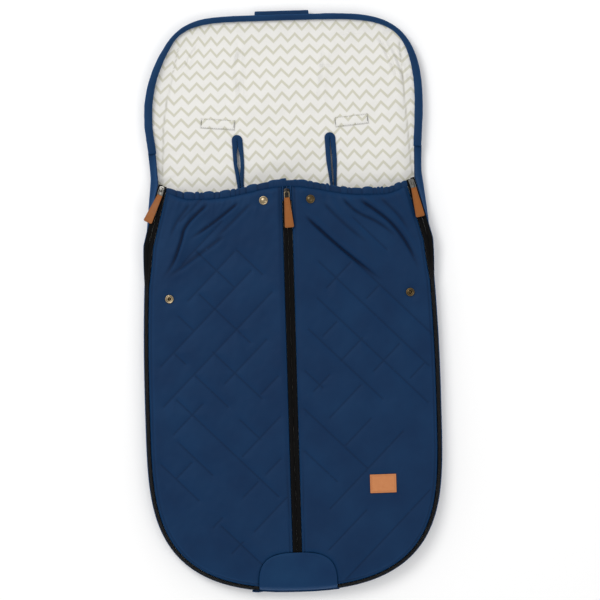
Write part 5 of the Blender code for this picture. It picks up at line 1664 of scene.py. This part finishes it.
def prism(outline, low, high, bevel):
    """A flat plate cut to an outline, with rounded edges."""
    bm = bmesh.new()
    face = bm.faces.new([bm.verts.new((x, y, low)) for x, y in outline])
    raised = bmesh.ops.extrude_face_region(bm, geom=[face])["geom"]
    verts = [v for v in raised if isinstance(v, bmesh.types.BMVert)]
    bmesh.ops.translate(bm, vec=(0, 0, high - low), verts=verts)
    bmesh.ops.recalc_face_normals(bm, faces=bm.faces)
    rims = [e for e in bm.edges if abs(e.verts[0].co.z - e.verts[1].co.z) < 1e-9]
    bmesh.ops.bevel(
        bm, geom=rims, offset=bevel, segments=2, profile=0.5, affect="EDGES", material=-1
    )
    return bm


def slider_outline():
    """Flared shoulders at the top, a waist, and a round tail, in metres."""
    right = [
        (0.0, 0.0), (2.2, -0.1), (3.9, -0.8), (4.7, -2.2), (4.8, -4.0), (4.5, -6.2),
        (3.9, -8.6), (3.7, -11.0), (3.8, -14.0), (3.8, -17.0), (3.4, -18.8), (2.2, -19.8),
        (0.0, -20.0),
    ]
    left = [(-x, y) for x, y in right[::-1][1:-1]]
    return [(x / 1000, y / 1000) for x, y in right + left]


def arch_strap():
    """The arch that the link runs through."""
    outer = [(-4.5, -0.3), (-4.5, 1.6), (-4.1, 2.5), (-3.2, 3.15), (-1.8, 3.4)]
    inner = [(3.4, -0.3), (3.4, 1.4), (3.0, 2.0), (2.2, 2.35)]
    profile = outer + [(0, 3.4)] + [(-y, z) for y, z in outer[::-1]]
    profile += inner + [(0, 2.4)] + [(-y, z) for y, z in inner[::-1]]
    points = [(y / 1000 - 0.006, z / 1000 + OUTER) for y, z in profile]
    bm = prism(points, -0.0012, 0.0012, 0.00022)
    turn = Matrix(((0, 0, 1), (1, 0, 0), (0, 1, 0))).to_4x4()
    bmesh.ops.transform(bm, matrix=turn, verts=bm.verts)
    return bm


def wire_loop():
    """The wire link, a rounded rectangle of round wire."""
    wire, wide, long, bend = 0.0007, 0.0080, 0.0110, 0.0019
    corners = [(1, -bend), (-1, -bend), (-1, -long + bend), (1, -long + bend)]
    path = []
    for turn, (side, y) in enumerate(corners):
        for step in range(7):
            angle = math.radians(90 * turn + 15 * step)
            x = side * (wide / 2 - bend) + bend * math.cos(angle)
            path.append((x, y + bend * math.sin(angle)))
    path = np.array(path)
    rings = []
    for p, n in zip(path, outward(path, closed=True)):
        ring = []
        for step in range(12):
            angle = math.radians(30 * step)
            out = wire * math.cos(angle)
            ring.append((p[0] + n[0] * out, p[1] + n[1] * out, wire * math.sin(angle)))
        rings.append(ring)
    return np.array(rings)


def dress_slider(place, matrix):
    """Two plates on a wedge, with the arch above and the wire link in it."""
    # The centre slider, under the hem, gets the dark metal.
    metal = DARK_SLIDER_METAL if place == "centre" else NICKEL
    half, top, bottom = 0.00006, -0.0012, -0.0062
    wedge = [(half, top), (half, bottom), (-half, bottom), (-half, top)]
    parts = [prism(slider_outline(), INNER, OUTER, 0.00035)]
    parts.append(prism(slider_outline(), -OUTER, -INNER, 0.00035))
    parts.append(prism(wedge, -OUTER + GAP, OUTER - GAP, 0.00002))
    parts.append(arch_strap())
    plates = []
    for bm in parts:
        bmesh.ops.transform(bm, matrix=matrix, verts=bm.verts)
        plates.append(finish_mesh("plate", bm, metal))
    obj = joined("zip_slider_" + place, plates)
    obj.data.set_sharp_from_angle(angle=0.6)
    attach(obj, "slider_" + place)
    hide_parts("slider_" + place)
    wire = BRASS if place == "centre" else NICKEL
    loop = tube("pull_wire_" + place, wire_loop(), wire, closed_path=True)
    loop.data.transform(matrix @ PIVOT)
    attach(loop, "pull_" + place)
    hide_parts("pull_link_" + place)


for place, matrix in FRAMES.items():
    dress_slider(place, matrix)
print("sliders:", [tuple(round(c, 4) for c in m.translation) for m in FRAMES.values()])

# %% [markdown]
# ## Leather pulls and patch
# Each pull is a strip of leather folded over the link, glued, stitched across its neck and
# cut wider and rounded at its end. The patch on the cover is bare leather with a border
# of stitches. A pressed line follows both edges, and the cut edges are darker.


# %% Leather pulls
TAB_LOW, TAB_TOP = -0.0500, 0.0015
TAB_NECK, TAB_END = 0.0047, 0.0081
PRESSED_LINE = 0.0021


def tab_half_width(y):
    """Half the width of a pull at this distance below the link's far end."""
    half = TAB_NECK + (TAB_END - TAB_NECK) * np.clip(y / TAB_LOW, 0, 1)
    end = np.clip((y - TAB_LOW) / 0.0024, 0, 1)
    return half * (1 - (1 - end) ** 2.4 * 0.30)


def pull_rows():
    """Where the pull's rows and columns lie, closer together at its edges."""
    near = 0.0016 * np.linspace(0, 1, 7) ** 1.7
    edge = np.linspace(TAB_LOW + 0.0016, TAB_LOW + 0.0042, 6)
    inside = np.linspace(TAB_LOW + 0.0045, TAB_TOP - 0.0020, 62)
    top = [TAB_TOP - 0.0012, TAB_TOP - 0.0006, TAB_TOP]
    y = np.concatenate([TAB_LOW + near[:-1], edge, inside, top])
    return y, np.sin(np.pi / 2 * np.linspace(-1, 1, 23))


def leather_form(name, x, y, thick, swell, leather, seed):
    """A leather plate from plan rows: rounded edge, pressed line, a little uneven."""
    plan = np.stack([x, y], 2)
    flat = plan.reshape(-1, 2)
    border = np.concatenate([plan[0], plan[:, -1], plan[-1, ::-1], plan[::-1, 0]])
    rim = to_path(flat, border)[0].reshape(x.shape)
    turn = 1 - np.clip(rim / 0.0007, 0, 1)
    round_off = 0.0006 * (1 - np.sqrt(1 - turn**2))
    pressed = 0.00022 * bell(rim - PRESSED_LINE, 0.00035)
    uneven = 0.00010 * noise(flat, 0.006, seed).reshape(x.shape)
    top = thick / 2 - round_off - pressed + (uneven + swell) * smooth(rim / 0.002)
    bottom = -thick / 2 + round_off * 0.7
    obj = pad(name, sheet(plan, top), sheet(plan, bottom), plan, leather)
    near = at_vertices(obj, flat, rim.ravel(), 1.0)
    line = 0.35 * bell(near - PRESSED_LINE, 0.0004)
    attribute(obj, "cut_edge", np.where(near < 0.00025, 1.0, line))
    return obj


ASKEW = {"left": -12.0, "centre": 3.5, "right": -3.5}


def pull_tab(place, matrix):
    """A folded strip; each hangs a little askew on its loose link."""
    y, u = pull_rows()
    x = u[None] * tab_half_width(y)[:, None]
    yy = np.repeat(y[:, None], len(u), 1)
    swell = 0.0003 * smooth((y + 0.006) / 0.006)[:, None]
    obj = leather_form("leather_pull_" + place, x, yy, 0.0026, swell, LEATHER, 61)
    for vert in obj.data.vertices:
        if vert.co.y > -0.0020:
            share = (vert.co.y + 0.0020) / 0.0035
            vert.co.z *= 1 + 0.10 * share - 0.45 * share**4
        bow = 0.0005 * math.sin((vert.co.y + 0.01) * 70)
        vert.co.z -= bow * float(smooth((-vert.co.y - 0.006) / 0.02))
    askew = Matrix.Rotation(math.radians(ASKEW[place]), 4, "Z")
    here = matrix @ PIVOT @ Matrix.Translation((0, -0.0110, 0)) @ askew
    obj.data.transform(here)
    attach(obj, "pull_" + place)
    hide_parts("pull_tab_" + place)
    half, height = 0.0042, 0.00137
    across = [(-half, -0.0056), (half, -0.0056)]
    down = [(half, -0.0062), (half, -0.0092), (-half, -0.0092), (-half, -0.0062)]
    paths = [[tuple(here @ Vector((*p, height))) for p in path] for path in (across, down)]
    name, body = "pull_stitches_" + place, "pull_" + place
    stitch_row(name, paths, TAN_THREAD, body, 0.0021, 0.7, 0.00024)


for place, matrix in FRAMES.items():
    pull_tab(place, matrix)


# %% Leather patch
def leather_patch():
    """The bare patch on the cover's right half, bent to lie on it."""
    corner = 0.0010
    t = np.sin(np.pi / 2 * np.linspace(-1, 1, 61))
    s = np.sin(np.pi / 2 * np.linspace(-1, 1, 45))
    y = np.repeat((s * PATCH_LONG / 2)[:, None], 61, 1)
    short = np.maximum(corner - (PATCH_LONG / 2 - np.abs(s) * PATCH_LONG / 2), 0)
    trim = corner - np.sqrt(np.maximum(corner**2 - short**2, 0))
    x = t[None] * (PATCH_WIDE / 2 - trim)[:, None]
    obj = leather_form("leather_patch", x, y, 0.0014, 0.0001, PALE_LEATHER, 71)
    for vert in obj.data.vertices:
        x_here, y_here = vert.co.x + PATCH_MIDDLE[0], vert.co.y + PATCH_MIDDLE[1]
        base = float(cover_z(np.array([x_here]), np.array([y_here]))[0])
        vert.co = (x_here, y_here, base + 0.0013 + vert.co.z)
    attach(obj, "cover")
    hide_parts("leather_label")
    inset = 0.0034
    a, b = PATCH_WIDE / 2 - inset, PATCH_LONG / 2 - inset
    loop = np.array([(-a, -b), (a, -b), (a, b), (-a, b), (-a, -b)]) + np.array(PATCH_MIDDLE)
    loop = resampled(loop, 0.0011)
    loop = np.column_stack([loop, cover_z(loop[:, 0], loop[:, 1]) + 0.0021])
    stitch_row("patch_stitches", [loop], TAN_THREAD, "cover", 0.0024, 0.7, 0.00022)
    return obj


print(len(leather_patch().data.polygons), "faces in the patch")

# %% [markdown]
# ## Picture
# The footmuff lies on a white floor and is looked at from straight above, as in a shop
# picture. A wide soft light hangs above and to the left, a weaker one fills from the right
# and below, and what the camera sees beside the floor is plain white.

# %% Camera
camera_data = bpy.data.cameras.new("camera")
camera = bpy.data.objects.new("camera", camera_data)
bpy.context.scene.collection.objects.link(camera)
HEIGHT, ACROSS_FRAME = 3.57, 1.029
camera.location = (0.0172, 0.0014, HEIGHT + 0.03)
camera.rotation_euler = (0, 0, math.radians(-1.706))
camera_data.sensor_width = 36
camera_data.lens = 36 * HEIGHT / ACROSS_FRAME
bpy.context.scene.camera = camera
print("lens", round(camera_data.lens), "mm")


# %% Lights
def area_light(name, place, size, power):
    """A round soft light that looks at the middle of the object."""
    data = bpy.data.lights.new(name, "AREA")
    data.shape, data.size, data.energy = "DISK", size, power
    light = bpy.data.objects.new(name, data)
    bpy.context.scene.collection.objects.link(light)
    light.location = place
    light.rotation_euler = Vector(place).to_track_quat("Z", "Y").to_euler()


area_light("key", (-1.2, 1.3, 2.5), 1.4, 37)
area_light("fill", (1.3, -1.0, 2.5), 1.8, 11)
print("two soft lights")

# %% White floor and surroundings
world = bpy.data.worlds.new("white_room")
bpy.context.scene.world = world
world.use_nodes = True
tree = world.node_tree
background = tree.nodes["Background"]
background.inputs["Color"].default_value = (1, 1, 1, 1)
background.inputs["Strength"].default_value = 0.665
seen = node(tree, "Background", {"Color": (1, 1, 1, 1), "Strength": 1.0})
ray = node(tree, "LightPath").outputs["Is Camera Ray"]
mix = node(tree, "MixShader", {0: ray, 1: background.outputs[0], 2: seen.outputs[0]})
tree.links.new(mix.outputs[0], tree.nodes["World Output"].inputs["Surface"])


def floor():
    """A white floor just under the footmuff; it is stage, not part of the object."""
    bm = bmesh.new()
    bmesh.ops.create_grid(bm, x_segments=1, y_segments=1, size=3.0)
    bmesh.ops.translate(bm, vec=(0, 0, -0.0002), verts=bm.verts)
    paper, _, shader = material("white_paper", roughness=0.9)
    shader.inputs["Base Color"].default_value = linear("#FFFFFF")
    finish_mesh("floor", bm, paper, merge=False)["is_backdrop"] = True


floor()
bpy.context.scene.view_settings.view_transform = "Standard"

# %% Sizes, and the end
sizes = {"cad": CAD_BOX, "visual": [list(corner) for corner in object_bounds()]}
for name, (low, high) in sizes.items():
    print(name, [round((b - a) * 1000, 1) for a, b in zip(low, high)], "mm")
